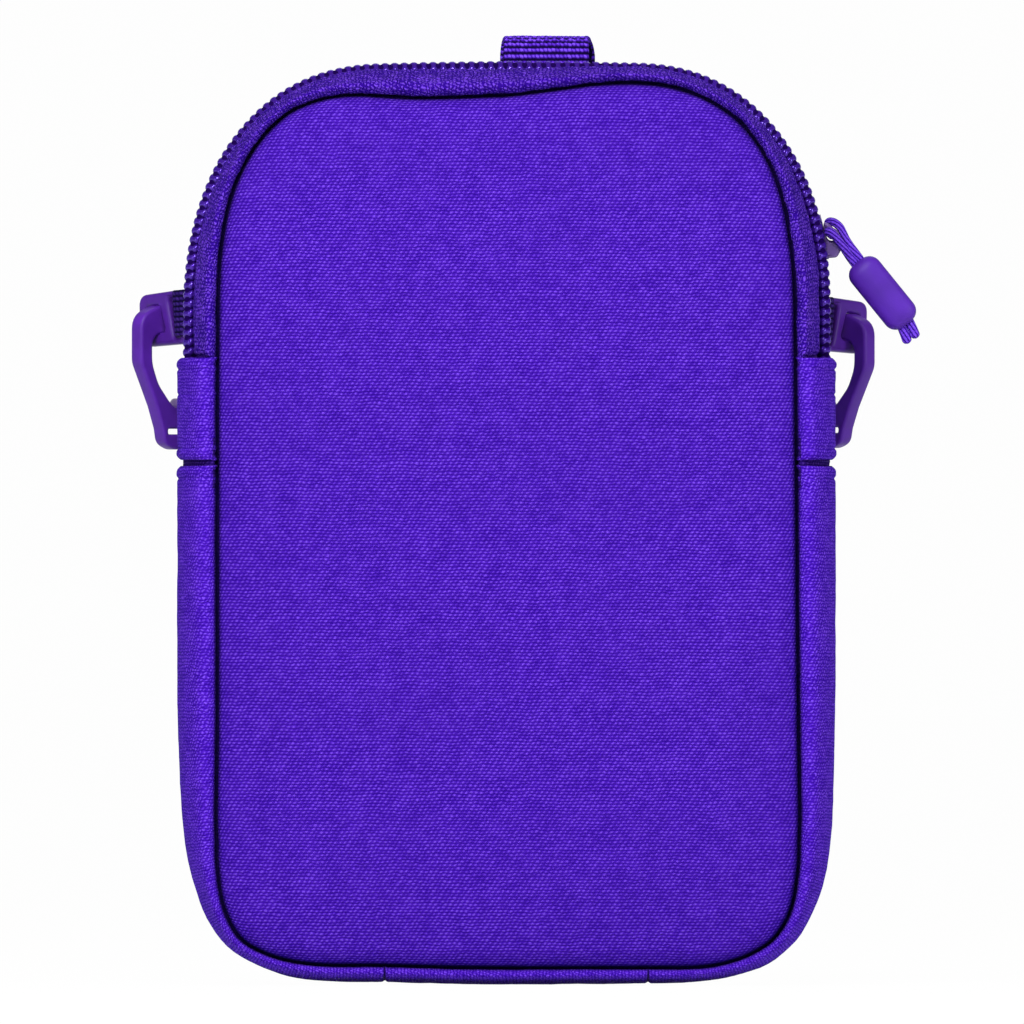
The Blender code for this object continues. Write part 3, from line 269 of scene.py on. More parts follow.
# Slider and puller. Places are in the photo's pixels, with a radius in pixels for the bridge
# and a depth in metres for the cord
SLIDER_HEIGHT = 0.1366
SLIDER_HALF_LENGTH = 0.0042
SLIDER_HALF_WIDTH = 0.0040
SLIDER_WING_DROP = 0.00062
SLIDER_WING_WALL = 0.00028
SLIDER_WING_FRONT = 0.0010
SLIDER_FLOOR_DROP = 0.0055
SLIDER_FLOOR_WALL = 0.0005
SLIDER_CURL = 0.0005
SLIDER_WEB = (0.00014, 0.0016)
BRIDGE_THICKNESS = 0.0018
BRIDGE_PX = ((823.5, 222.0, 2.0), (829.0, 223.5, 3.0), (835.0, 229.5, 5.0), (840.8, 240.0, 7.0),
             (841.5, 249.5, 6.0), (837.0, 257.5, 5.0), (823.5, 258.5, 2.0))
BRIDGE_HOLE_PX = (831.6, 235.6, 5.0)
CORD_RADIUS = 0.00079
CORD_PINCH = 0.12
CORD_PINCH_REACH = 0.0022
TAIL_SWELL = 1.10
CORD_UPPER_PX = ((831.6, 235.6, 0.0), (830.3, 233.0, 0.00175), (828.2, 226.5, 0.00190),
                 (829.0, 221.9, 0.00120), (834.0, 222.3, 0.00040), (839.6, 226.8, -0.00010),
                 (842.8, 232.6, -0.00030), (846.0, 239.5, -0.00040), (850.5, 246.5, -0.00030),
                 (856.6, 254.5, 0.0), (866.0, 267.5, 0.0))
CORD_LOWER_PX = ((831.6, 235.6, 0.0), (828.0, 231.6, -0.00170), (831.6, 233.0, -0.00230),
                 (837.6, 239.6, -0.00200), (844.2, 248.6, -0.00130), (850.2, 257.6, -0.00050),
                 (861.0, 272.0, 0.0))
TAILS_PX = (((896.5, 312.0), (900.2, 323.0), (904.2, 333.0), (908.3, 343.6)),
            ((901.5, 306.0), (907.6, 318.0), (912.4, 328.0), (916.4, 338.4)))
GRIP_CENTRE_PX = (882.5, 293.0)
GRIP_LENGTH = 0.0145
GRIP_WIDTH = 0.0065
GRIP_THICKNESS = 0.0052
GRIP_END_ROUND = 0.0023
GRIP_TILT_DEG = 51.0
GRIP_POWER = 2.7
GRIP_RIDGE = 0.00022
GRIP_RIDGE_END = 0.003
GRIP_DEEP_SHRINK = 0.72

# Camera, set square to the front panel
PIXELS = 1024
PHOTO_MIDDLE_PX = 506.5
PHOTO_BASE_PX = 984.0
METRES_PER_PX = 0.0001826
CAMERA_DISTANCE = 8.0
SENSOR_MM = 36.0

# Stage: places of its line in depth and height, with the floor a hair below the pouch
STAGE_LINE = ((12.5, 5.0), (12.4, 2.0), (12.0, 0.4), (11.0, 0.0), (8.0, 0.0), (-12.0, 0.0))
STAGE_BEND = 10.0
STAGE_HALF = 12.0
STAGE_GAP = 0.00002
STAGE_WHITE = 0.985

# Lights: place, width and height, watts
WORLD_STRENGTH = 0.17
LIGHTS = (("key", (-0.08, -0.68, 0.70), (0.42, 0.30), 7.2),
          ("fill_left", (-0.9, -0.50, 0.30), (0.3, 0.5), 1.9),
          ("fill_right", (0.9, -0.50, 0.35), (0.3, 0.5), 4.6),
          ("rim", (0.0, 0.7, 0.9), (0.8, 0.4), 1.5),
          ("glint", (-0.26, -0.72, 0.40), (0.12, 0.12), 2.4))

# Colours, linear
CLOTH_DARK = (0.020, 0.0004, 0.235, 1.0)
CLOTH_BASE = (0.064, 0.0092, 0.430, 1.0)
CLOTH_BRIGHT = (0.165, 0.056, 0.690, 1.0)
COIL_COLOUR = (0.046, 0.0095, 0.275, 1.0)
MOULDED_COLOUR = (0.074, 0.0135, 0.275, 1.0)
GRIP_COLOUR = (0.064, 0.0125, 0.290, 1.0)
# Near black: painted shade for the slider's wing, which sits in shadow beside the teeth; its floor
# and web share the colour.
WING_COLOUR = (0.030, 0.008, 0.150, 1.0)
CORE_COLOUR = (0.008, 0.0008, 0.055, 1.0)
METAL_DARK = (0.085, 0.040, 0.215, 1.0)
METAL_PALE = (0.135, 0.075, 0.290, 1.0)
METAL_RUBBED = (0.30, 0.22, 0.45, 1.0)
FOAM_DARK = (0.16, 0.16, 0.17, 1.0)
FOAM_PALE = (0.36, 0.36, 0.38, 1.0)
LINING_DARK = (0.020, 0.004, 0.120, 1.0)
LINING_PALE = (0.055, 0.014, 0.300, 1.0)

SIDES = (("right", 1), ("left", -1))


class CrownPath:
    """The front-view outline of the pouch by arc length, from the middle of the base to the right."""

    def __init__(self):
        angles = np.linspace(0.0, math.pi / 2, CORNER_SAMPLES)
        cosines = np.cos(angles).clip(0.0)
        sines = np.sin(angles).clip(0.0)
        low_x = BOTTOM_CORNER_WIDTH * cosines ** (2 / BOTTOM_CORNER_POWER)
        low_z = BOTTOM_CORNER_HEIGHT * sines ** (2 / BOTTOM_CORNER_POWER)
        high_x = TOP_CORNER_WIDTH * cosines ** (2 / TOP_CORNER_POWER)
        high_z = TOP_CORNER_HEIGHT * sines ** (2 / TOP_CORNER_POWER)
        xs = np.concatenate(([0.0], HALF_WIDTH - BOTTOM_CORNER_WIDTH + low_x[::-1],
                             HALF_WIDTH - TOP_CORNER_WIDTH + high_x, [0.0]))
        zs = np.concatenate(([0.0], BOTTOM_CORNER_HEIGHT - low_z[::-1],
                             BODY_HEIGHT - TOP_CORNER_HEIGHT + high_z, [BODY_HEIGHT]))
        along = np.concatenate(([0.0], np.cumsum(np.hypot(np.diff(xs), np.diff(zs)))))
        self.half = along[-1]
        self.total = 2 * self.half
        self.grid = np.linspace(0.0, self.half, PATH_SAMPLES)
        self.x = np.interp(self.grid, along, xs)
        self.z = np.interp(self.grid, along, zs)
        self.nx = np.gradient(self.z, self.grid)
        self.nz = -np.gradient(self.x, self.grid)

    def at(self, length):
        """Points and outward normals at arc lengths, as arrays x, z, nx, nz."""
        length = np.mod(length, self.total)
        mirrored = length > self.half
        along = np.where(mirrored, self.total - length, length)
        sign = np.where(mirrored, -1.0, 1.0)
        x, z, nx, nz = (np.interp(along, self.grid, values)
                        for values in (self.x, self.z, self.nx, self.nz))
        size = np.hypot(nx, nz)
        return sign * x, z, sign * nx / size, nz / size

    def length_at(self, height, side=1):
        along = float(np.interp(height, self.z, self.grid))
        return along if side > 0 else self.total - along

    def place(self, length, drop, depth):
        """World points at drops below the path and depths along Y, as an array of rows."""
        x, z, nx, nz = self.at(length)
        return np.stack([x - nx * drop, np.broadcast_to(depth, np.shape(x - nx * drop)),
                         z - nz * drop], -1)


PATH = CrownPath()


def smooth_shares(table, samples=2400, width=14):
    """A closed table of (share of the way round, value) as a smooth array."""
    table = np.array(table)
    values = np.interp(np.linspace(0.0, 1.0, samples, endpoint=False), table[:, 0], table[:, 1])
    kernel = np.hanning(2 * width + 1)
    kernel /= kernel.sum()
    return np.convolve(np.concatenate((values[-width:], values, values[:width])), kernel, "valid")


def around(smooth, length):
    """Value of a smooth table at arc lengths of the crown path."""
    places = np.linspace(0.0, 1.0, len(smooth), endpoint=False)
    return np.interp(np.mod(length, PATH.total) / PATH.total, places, smooth, period=1.0)


FRONT_SEAM = smooth_shares(FRONT_SEAM_SHARES)
SIDE_INSET = smooth_shares(SIDE_INSETS)
COIL_INSET = smooth_shares(COIL_INSETS, width=30)
STRIP_BULGE = smooth_shares(STRIP_BULGE_SHARES, width=30)


def travelled(points):
    """Distance gone along a line of points, at each of them."""
    steps = np.linalg.norm(np.diff(points, axis=0), axis=1)
    return np.concatenate(([0.0], np.cumsum(steps)))


def seam_inset(length, front=True):
    """How far the seam lies inside the path; the back seam is the plain one."""
    length = np.mod(length, PATH.total)
    _, _, nx, nz = PATH.at(length)
    if front:
        return SEAM_INSET * (around(FRONT_SEAM, length) + SEAM_NEAR_SHARE)
    return SEAM_INSET * nx * nx + np.where(nz > 0, BACK_SEAM_TOP, BACK_SEAM_BASE) * nz * nz


def curve_through(points, count):
    """Points read evenly from a smooth curve through control points, as an array."""
    points = np.array(points, float)
    ends = np.concatenate(([2 * points[0] - points[1]], points, [2 * points[-1] - points[-2]]))
    fine = []
    for index in range(1, len(ends) - 2):
        before, start, end, after = ends[index - 1:index + 3]
        for t in np.linspace(0.0, 1.0, 16, endpoint=False):
            fine.append(0.5 * (2 * start + (end - before) * t
                               + (2 * before - 5 * start + 4 * end - after) * t ** 2
                               + (3 * start - before - 3 * end + after) * t ** 3))
    fine = np.array(fine + [points[-1]])
    gone = travelled(fine)
    wanted = np.linspace(0.0, gone[-1], count)
    return np.stack([np.interp(wanted, gone, column) for column in fine.T], -1)


def photo_point(place, depth=0.0):
    """World point of a place in the photo, in pixels, at a depth."""
    return Vector(((place[0] - PHOTO_MIDDLE_PX) * METRES_PER_PX, depth,
                   (PHOTO_BASE_PX - place[1]) * METRES_PER_PX))


def fractal(point, size, seed=0.0):
    """Smooth noise of about -1 to 1 at a world point, with lumps of the given size."""
    place = Vector(point) / size + Vector((seed, seed * 1.7, seed * 2.3))
    return noise.fractal(place, 0.9, 2.0, 3)


# Materials

def add_node(tree, kind, inputs=None, **settings):
    """A shader node with its settings; its inputs are numbers, colours, fields or sockets."""
    node = tree.nodes.new("ShaderNode" + kind)
    for key, value in settings.items():
        setattr(node, key, value)
    for key, value in (inputs or {}).items():
        if isinstance(value, Field):
            value = value.socket
        if isinstance(value, bpy.types.NodeSocket):
            tree.links.new(value, node.inputs[key])
        else:
            node.inputs[key].default_value = value
    return node


class Field:
    """A number that varies over a surface. Arithmetic on it adds shader nodes."""

    def __init__(self, node, output=0):
        self.tree = node.id_data
        self.socket = node.outputs[output]

    def math(self, operation, *others):
        inputs = dict(enumerate((self, *others)))
        return Field(add_node(self.tree, "Math", inputs, operation=operation))

    def __add__(self, other):
        return self.math("ADD", other)

    def __sub__(self, other):
        return self.math("SUBTRACT", other)

    def __mul__(self, other):
        return self.math("MULTIPLY", other)

    def __truediv__(self, other):
        return self.math("DIVIDE", other)

    def __pow__(self, other):
        return self.math("POWER", other)

    def floor(self):
        return self.math("FLOOR")

    def fraction(self):
        return self.math("FRACT")

    def wave(self, period=1.0):
        """Height of a round thread across its period: 0 between threads and 1 on the crown."""
        return (self * (math.pi / period)).math("SINE").math("ABSOLUTE")

    def within(self, low, high):
        """0 below low, 1 above high, smooth between them."""
        inputs = {"Value": self, "From Min": low, "From Max": high}
        return Field(add_node(self.tree, "MapRange", inputs, interpolation_type="SMOOTHSTEP"),
                     "Result")


class Finish:
    """A Principled material and the pattern that drives its colour, roughness and bump."""

    def __init__(self, name, roughness, shine=None, **values):
        self.material = bpy.data.materials.new(name)
        self.material.use_nodes = True
        self.tree = self.material.node_tree
        self.inputs = self.tree.nodes["Principled BSDF"].inputs
        self.inputs["Roughness"].default_value = roughness
        if shine is not None:
            self.inputs["Specular IOR Level"].default_value = shine
        for key, value in values.items():
            self.inputs[key.replace("_", " ").title()].default_value = value

    def add(self, kind, inputs=None, **settings):
        return add_node(self.tree, kind, inputs, **settings)

    def cloth_place(self):
        """Across and along the cloth, in metres, from the piece's cloth map."""
        source = self.add("UVMap", uv_map="cloth")
        split = self.add("SeparateXYZ", {0: source.outputs["UV"]})
        return Field(split, "X"), Field(split, "Y")

    def object_place(self):
        return self.add("TexCoord").outputs["Object"]

    def join(self, x, y, z=0.0):
        return self.add("CombineXYZ", {0: x, 1: y, 2: z}).outputs[0]

    def noise(self, vector=None, size=0.01, detail=2.0):
        """Noise of 0 to 1 whose lumps have a size in metres, over a vector or the object."""
        if vector is None:
            vector = self.object_place()
        inputs = {"Scale": 1.0 / size, "Detail": detail, "Vector": vector}
        return Field(self.add("TexNoise", inputs), "Fac")

    def chance(self, x, y):
        """A random number of 0 to 1 for each whole-number cell."""
        return Field(self.add("TexWhiteNoise", {"Vector": self.join(x, y)},
                              noise_dimensions="3D"), "Value")

    def painted(self, name):
        """A number painted on the mesh, such as how far a point is out of the painted shade of the
        seams.
        """
        return Field(self.add("Attribute", attribute_name=name), "Fac")

    def edges(self, low, high):
        """0 on the flat and 1 on sharp edges: where a metal coat rubs off, and where moulded plastic
        gets a painted highlight.
        """
        return Field(self.add("NewGeometry"), "Pointiness").within(low, high)

    def mix(self, share, first, second):
        """Blend two colours, each a colour or a socket, by a share."""
        return self.add("Mix", {"Factor": share, 6: first, 7: second}, data_type="RGBA",
                        clamp_factor=True).outputs[2]

    def dress(self, colour, roughness, bump=None, height=0.0, strength=1.0):
        """Drive the shader by a colour, a roughness and a bump, and hand over the material."""
        self.tree.links.new(colour, self.inputs["Base Color"])
        if roughness is not None:
            self.tree.links.new(roughness.socket, self.inputs["Roughness"])
        if bump is not None:
            inputs = {"Strength": strength, "Distance": height, "Height": bump}
            node = self.add("Bump", inputs)
            self.tree.links.new(node.outputs["Normal"], self.inputs["Normal"])
        return self.material


def tone(colour, share):
    """The colour made lighter or darker."""
    return tuple(channel * share for channel in colour[:3]) + (1.0,)


def plain_weave(name, tint=1.0, contrast=1.0, warp=WARP_PITCH, weft=WEFT_PITCH,
                depth=WEAVE_DEPTH, wander=0.7, mottle=0.34, jumble=0.22):
    """Coarse nylon plain weave: weft floats show as rows of bright dashes set like bricks."""
    finish = Finish(name, 0.88, 0.06)
    across, along = finish.cloth_place()
    place = finish.join(across, along)
    sway = finish.noise(place, 0.009) - 0.5
    drift = finish.noise(finish.join(along, across, 0.3), 0.007) - 0.5
    stir = finish.noise(place, 0.0011, 1.0) - 0.5
    shake = finish.noise(finish.join(along, across, 0.7), 0.0010, 1.0) - 0.5
    across = across + sway * (warp * 2 * wander) + stir * (warp * 4 * jumble)
    along = along + drift * (weft * 1.4 * wander) + shake * (weft * 3 * jumble)
    row = (along / weft).floor()
    step = across / (2 * warp) - row * 0.42 - (along / weft).fraction() * 0.3
    dash = step.wave() ** 1.5 * along.wave(weft) ** 1.1
    under = (step + 0.5).wave() ** 2.0 * along.wave(weft) * 0.34
    height = dash.math("MAXIMUM", under)
    dot = finish.chance(step.floor(), row)
    thread = finish.chance(row, 7.0)
    fibres = finish.noise(finish.join(across * 0.35, along * 3.0), 0.00022)
    lumps = finish.noise(place, 0.0042, 3.0) - 0.5
    bright = height * (dot * 0.5 + 0.70) + fibres * 0.16 - 0.08 + lumps * mottle
    bright = (bright - 0.38) * contrast + 0.38
    low = finish.mix(bright.within(-0.02, 0.42), tone(CLOTH_DARK, tint), tone(CLOTH_BASE, tint))
    full = finish.mix(bright.within(0.36, 1.02), low, tone(CLOTH_BRIGHT, tint))
    shade = finish.noise(None, 0.028, 3.0)
    varied = finish.mix(shade.within(0.25, 0.75) * 0.16 + thread * 0.14, full,
                        tone(CLOTH_BASE, 0.72 * tint))
    # Painted shade: where the mesh's out number is low, in seam valleys and over the binding, the
    # cloth goes to a near-black copy of its dark tone.
    shaded = finish.mix(finish.painted("out"), tone(CLOTH_DARK, 0.12), varied)
    return finish.dress(shaded, height * -0.1 + 0.94, height + fibres * 0.15 + lumps * 0.6, depth)


def ribbed_webbing(name, tint, rows, bumps):
    """Nylon webbing: rows of twisted yarns, darker between the rows, with painted shade in the
    grooves where the mesh's out number is low.
    """
    finish = Finish(name, 0.74, 0.08)
    across, along = finish.cloth_place()
    row = (along / rows).floor()
    slant = across / bumps + (row * 0.5).fraction() + along / (rows * 2.2)
    rib = along.wave(rows)
    spot = finish.chance(slant.floor(), row)
    fibres = finish.noise(finish.join(across * 2.5 + along * 1.4, along * 0.6), 0.0003)
    height = rib ** 0.9 * (slant.wave() ** 0.8 * 0.6 + 0.4)
    bright = height * (spot * 0.45 + 0.62) + fibres * 0.2 - 0.1
    low = finish.mix(bright.within(0.10, 0.50), tone(CLOTH_DARK, 0.25 * tint),
                     tone(CLOTH_BASE, tint))
    full = finish.mix(bright.within(0.42, 0.92), low, tone(CLOTH_BRIGHT, 1.15 * tint))
    shaded = finish.mix(finish.painted("out"), tone(CLOTH_DARK, 0.10), full)
    return finish.dress(shaded, height * -0.1 + 0.84, height + fibres * 0.25, 0.00018, 0.9)


def zip_tape(name):
    """Herringbone tape, darker than the cloth."""
    finish = Finish(name, 0.85, sheen_weight=0.1)
    across, along = finish.cloth_place()
    zigzag = (across / 0.0024).math("PINGPONG", 0.5)
    slant = (along + zigzag * 0.0024).wave(0.00052)
    height = slant * 0.8 + finish.noise(finish.join(across, along), 0.0004) * 0.2
    colour = finish.mix(height.within(0.2, 0.95), tone(CLOTH_DARK, 0.35), tone(CLOTH_BASE, 0.5))
    return finish.dress(colour, None, height, 0.00012, 0.8)


def coil_nylon(name):
    """Glossy nylon filament with faint draw lines along it."""
    finish = Finish(name, 0.22, 0.0, metallic=0.45, coat_weight=0.55, coat_roughness=0.10,
                    specular_tint=(0.45, 0.28, 0.85, 1.0))
    turned, along = finish.cloth_place()
    lines = finish.noise(finish.join(turned * 3.0, along * 0.4), 0.0007, 3.0)
    colour = finish.mix(lines * 0.5 + finish.noise(None, 0.004) * 0.5, tone(COIL_COLOUR, 0.7),
                        tone(COIL_COLOUR, 1.5))
    return finish.dress(colour, lines * 0.10 + 0.19)


def moulded_nylon(name, colour=MOULDED_COLOUR, roughness=0.42, grain=0.0004, shine=0.18):
    """Moulded plastic: fine spark-eroded grain, cloudy gloss, and sharp edges made paler by a painted
    highlight.
    """
    finish = Finish(name, roughness, shine)
    grains = finish.noise(None, grain, 3.0)
    cloud = finish.noise(None, 0.006, 3.0)
    body = finish.mix(cloud.within(0.3, 0.7), tone(colour, 0.86), tone(colour, 1.08))
    # Painted highlight: sharp edges go a third of the way to a paler copy of the colour.
    edge_wear_and_highlight = finish.mix(finish.edges(0.52, 0.60) * 0.35, body, tone(colour, 1.5))
    return finish.dress(edge_wear_and_highlight, cloud * 0.14 + grains * 0.08 + (roughness - 0.11), grains,
                        0.000025, 0.6)


def braided_cord(name):
    """Fine cord: seven twisted strands that lie along it on a long slant."""
    finish = Finish(name, 0.68, 0.12)
    turned, along = finish.cloth_place()
    place = turned * 7.0 + along / 0.0030
    ridge = place.wave()
    stitch = (along / 0.0009 + place.floor() * 0.37).wave()
    fibres = finish.noise(finish.join(turned * 0.004, along), 0.00025)
    bright = ridge * 0.75 + stitch * 0.15 + fibres * 0.25
    low = finish.mix(bright.within(0.15, 0.65), tone(CLOTH_DARK, 0.35), CLOTH_BASE)
    full = finish.mix(bright.within(0.50, 1.0), low, tone(CLOTH_BRIGHT, 0.82))
    return finish.dress(full, None, ridge + stitch * 0.3 + fibres * 0.2, 0.00016)


def painted_metal(name):
    """Painted zinc: a purple coat, greyer and paler where it is rubbed."""
    finish = Finish(name, 0.34, metallic=0.35, coat_weight=0.25)
    cloud = finish.noise(None, 0.003, 3.0)
    body = finish.mix(cloud, METAL_DARK, METAL_PALE)
    # Here the paler edges are wear: the coat rubbed off to greyer metal.
    edge_wear_and_highlight = finish.mix(finish.edges(0.50, 0.58) * 0.6, body, METAL_RUBBED)
    return finish.dress(edge_wear_and_highlight, cloud * 0.2 + 0.26, cloud, 0.00004, 0.5)


def foam(name):
    """Open-cell foam."""
    finish = Finish(name, 0.95)
    cells = finish.add("TexVoronoi", {"Scale": 1800.0, "Vector": finish.object_place()})
    depth = Field(cells, "Distance")
    return finish.dress(finish.mix(depth.within(0.1, 0.7), FOAM_DARK, FOAM_PALE), None, depth,
                        0.0002, 0.7)


def lining_taffeta(name):
    """Thin smooth lining cloth with a fine weave."""
    finish = Finish(name, 0.6, sheen_weight=0.2)
    across, along = finish.cloth_place()
    fine = across.wave(0.00032) * 0.5 + along.wave(0.0003) * 0.5
    cloud = finish.noise(None, 0.02)
    return finish.dress(finish.mix(fine * 0.6 + cloud * 0.4, LINING_DARK, LINING_PALE), None, fine,
                        0.00004, 0.7)


FINISHES = {
    "canvas": plain_weave("canvas", 0.79, 1.05),
    "canvas_back": plain_weave("canvas_back", 0.84),
    "canvas_side": plain_weave("canvas_side", 1.00, 1.1, mottle=0.5, jumble=0.50),
    "canvas_strip": plain_weave("canvas_strip", 0.86, 3.4, 0.00046, 0.00072, 0.00030, 2.0, 0.8,
                                0.62),
    # The cloth darkened to 0.30: painted shade for cloth in gaps, under the tabs and behind the
    # seams.
    "canvas_under": plain_weave("canvas_under", 0.30),
    "tape": zip_tape("tape"),
    "teeth": coil_nylon("teeth"),
    "core": moulded_nylon("core", CORE_COLOUR, 0.8, shine=0.02),
    "webbing": ribbed_webbing("webbing", 1.0, LOOP_ROW, LOOP_BUMP / 2),
    "webbing_shade": ribbed_webbing("webbing_shade", 0.20, WEBBING_ROW, 0.0009),
    "padding": foam("padding"),
    "lining": lining_taffeta("lining"),
    "moulded": moulded_nylon("moulded"),
    # The rings: the moulded colour darkened to 0.85, painted shade for rings that sit in shadow.
    "ring": moulded_nylon("ring", tone(MOULDED_COLOUR, 0.85)),
    "slider": painted_metal("slider"),
    # The slider's wing, floor and web: near-black WING_COLOUR, painted shade.
    "wing": moulded_nylon("wing", WING_COLOUR, 0.35),
    "rivet": painted_metal("rivet"),
    "cord": braided_cord("cord"),
    "grip": moulded_nylon("grip", GRIP_COLOUR, 0.5, 0.0003),
}


# Mesh building

def new_object(name, build, material, smooth=True):
    """The named object of a bmesh, with one material."""
    mesh = bpy.data.meshes.new(name)
    build.to_mesh(mesh)
    build.free()
    mesh.materials.append(material)
    if smooth:
        mesh.shade_smooth()
    obj = bpy.data.objects.new(name, mesh)
    bpy.context.scene.collection.objects.link(obj)
    return obj


def finished(name, build, finish, smooth=True):
    """A visible piece, with its finish."""
    bmesh.ops.recalc_face_normals(build, faces=build.faces)
    obj = new_object(name, build, FINISHES[finish], smooth)
    return obj


def full_turn(count):
    return np.linspace(0.0, 2 * math.pi, count, endpoint=False)


def attach(piece, body, *nodes):
    """Hide the nodes a piece stands for, and set which body it rides on.

    With no body the piece keeps its place, with its transform baked into its mesh.
    """
    if nodes:
        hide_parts(*nodes)
    if body:
        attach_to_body(piece, body)
    else:
        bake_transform(piece)


def outward_normals(grid, wrap_columns, centre):
    """Unit normals of a grid of points that point away from a centre."""
    if wrap_columns:
        by_column = np.roll(grid, -1, 1) - np.roll(grid, 1, 1)
    else:
        by_column = np.gradient(grid, axis=1)
    normals = np.cross(np.gradient(grid, axis=0), by_column)
    normals = normals / np.maximum(np.linalg.norm(normals, axis=-1, keepdims=True), 1e-12)
    inward = np.mean(np.sum(normals * (grid - np.array(centre)), -1)) < 0
    return -normals if inward else normals


def shell(name, grid, wall, finish, cloth, out=None, wrap_columns=False, pole=False,
          centre=MIDDLE):
    """A closed cloth shell: the grid of outer points, an inner skin a wall below it, and rims.

    The columns may close into loops, and a pole then ends them at the last row's middle.
    """
    rows, columns = grid.shape[:2]
    inner = grid - outward_normals(grid, wrap_columns, centre) * wall
    build = bmesh.new()
    layer = build.loops.layers.uv.new("cloth")
    paint = build.verts.layers.float.new("out")
    if out is None:
        out = np.ones((rows, columns))
    if wrap_columns:
        cloth = np.concatenate((cloth, cloth[:, :1]), 1)
    skins = []
    for skin in (grid, inner):
        skins.append([[build.verts.new(point) for point in row] for row in skin])
        for row, values in zip(skins[-1], out):
            for vert, value in zip(row, values):
                vert[paint] = value

    def face(corners, places):
        for loop, place in zip(build.faces.new(corners).loops, places):
            loop[layer].uv = place

    last = columns if wrap_columns else columns - 1
    pairs = [(j, (j + 1) % columns) for j in range(last)]
    for made in skins:
        for i in range(rows - 1):
            for j, k in pairs:
                face((made[i][j], made[i][k], made[i + 1][k], made[i + 1][j]),
                     (cloth[i, j], cloth[i, j + 1], cloth[i + 1, j + 1], cloth[i + 1, j]))
    if pole:
        for made, points in zip(skins, (grid, inner)):
            tip = build.verts.new(points[-1].mean(0))
            tip[paint] = 1.0
            middle = cloth[-1, :-1].mean(0)
            for j, k in pairs:
                face((made[-1][j], made[-1][k], tip), (cloth[-1, j], cloth[-1, j + 1], middle))
    outer, under = skins
    for i in [0] if pole else [0, rows - 1]:
        for j, k in pairs:
            face((outer[i][j], outer[i][k], under[i][k], under[i][j]),
                 (cloth[i, j], cloth[i, j + 1], cloth[i, j + 1], cloth[i, j]))
    for j in () if wrap_columns else (0, columns - 1):
        for i in range(rows - 1):
            face((outer[i][j], outer[i + 1][j], under[i + 1][j], under[i][j]),
                 (cloth[i, j], cloth[i + 1, j], cloth[i + 1, j], cloth[i, j]))
    return finished(name, build, finish)


def loft(name, rings, finish, across_step=0.0005, alongs=None):
    """A closed body through rings of points, ended by a face at each tip."""
    build = bmesh.new()
    layer = build.loops.layers.uv.new("cloth")
    rows = [[build.verts.new(point) for point in ring] for ring in rings]
    if alongs is None:
        alongs = [row * 0.0005 for row in range(len(rows))]
    for i, (low, high) in enumerate(zip(rows, rows[1:])):
        for j in range(len(low)):
            k = (j + 1) % len(low)
            made = build.faces.new((low[j], low[k], high[k], high[j]))
            places = ((j, i), (j + 1, i), (j + 1, i + 1), (j, i + 1))
            for loop, (across, along) in zip(made.loops, places):
                loop[layer].uv = (across * across_step, alongs[along])
    for row in (rows[0], rows[-1]):
        build.faces.new(row)
    return finished(name, build, finish)


def tube(name, centres, radii, finish, sides=18):
    """A tube along a curve, with a pair of radii at each point: in depth and across it."""
    tangents = np.gradient(centres, axis=0)
    tangents /= np.linalg.norm(tangents, axis=1, keepdims=True)
    first = np.array((0.0, 1.0, 0.0))
    turns = full_turn(sides)
    rings = []
    for centre, tangent, (wide, deep) in zip(centres, tangents, radii):
        first = first - tangent * np.dot(first, tangent)
        first = first / np.linalg.norm(first)
        second = np.cross(tangent, first)
        rings.append([centre + first * wide * math.cos(turn) + second * deep * math.sin(turn)
                      for turn in turns])
    return loft(name, rings, finish, 1.0 / sides, travelled(centres))


# Cloth of the body

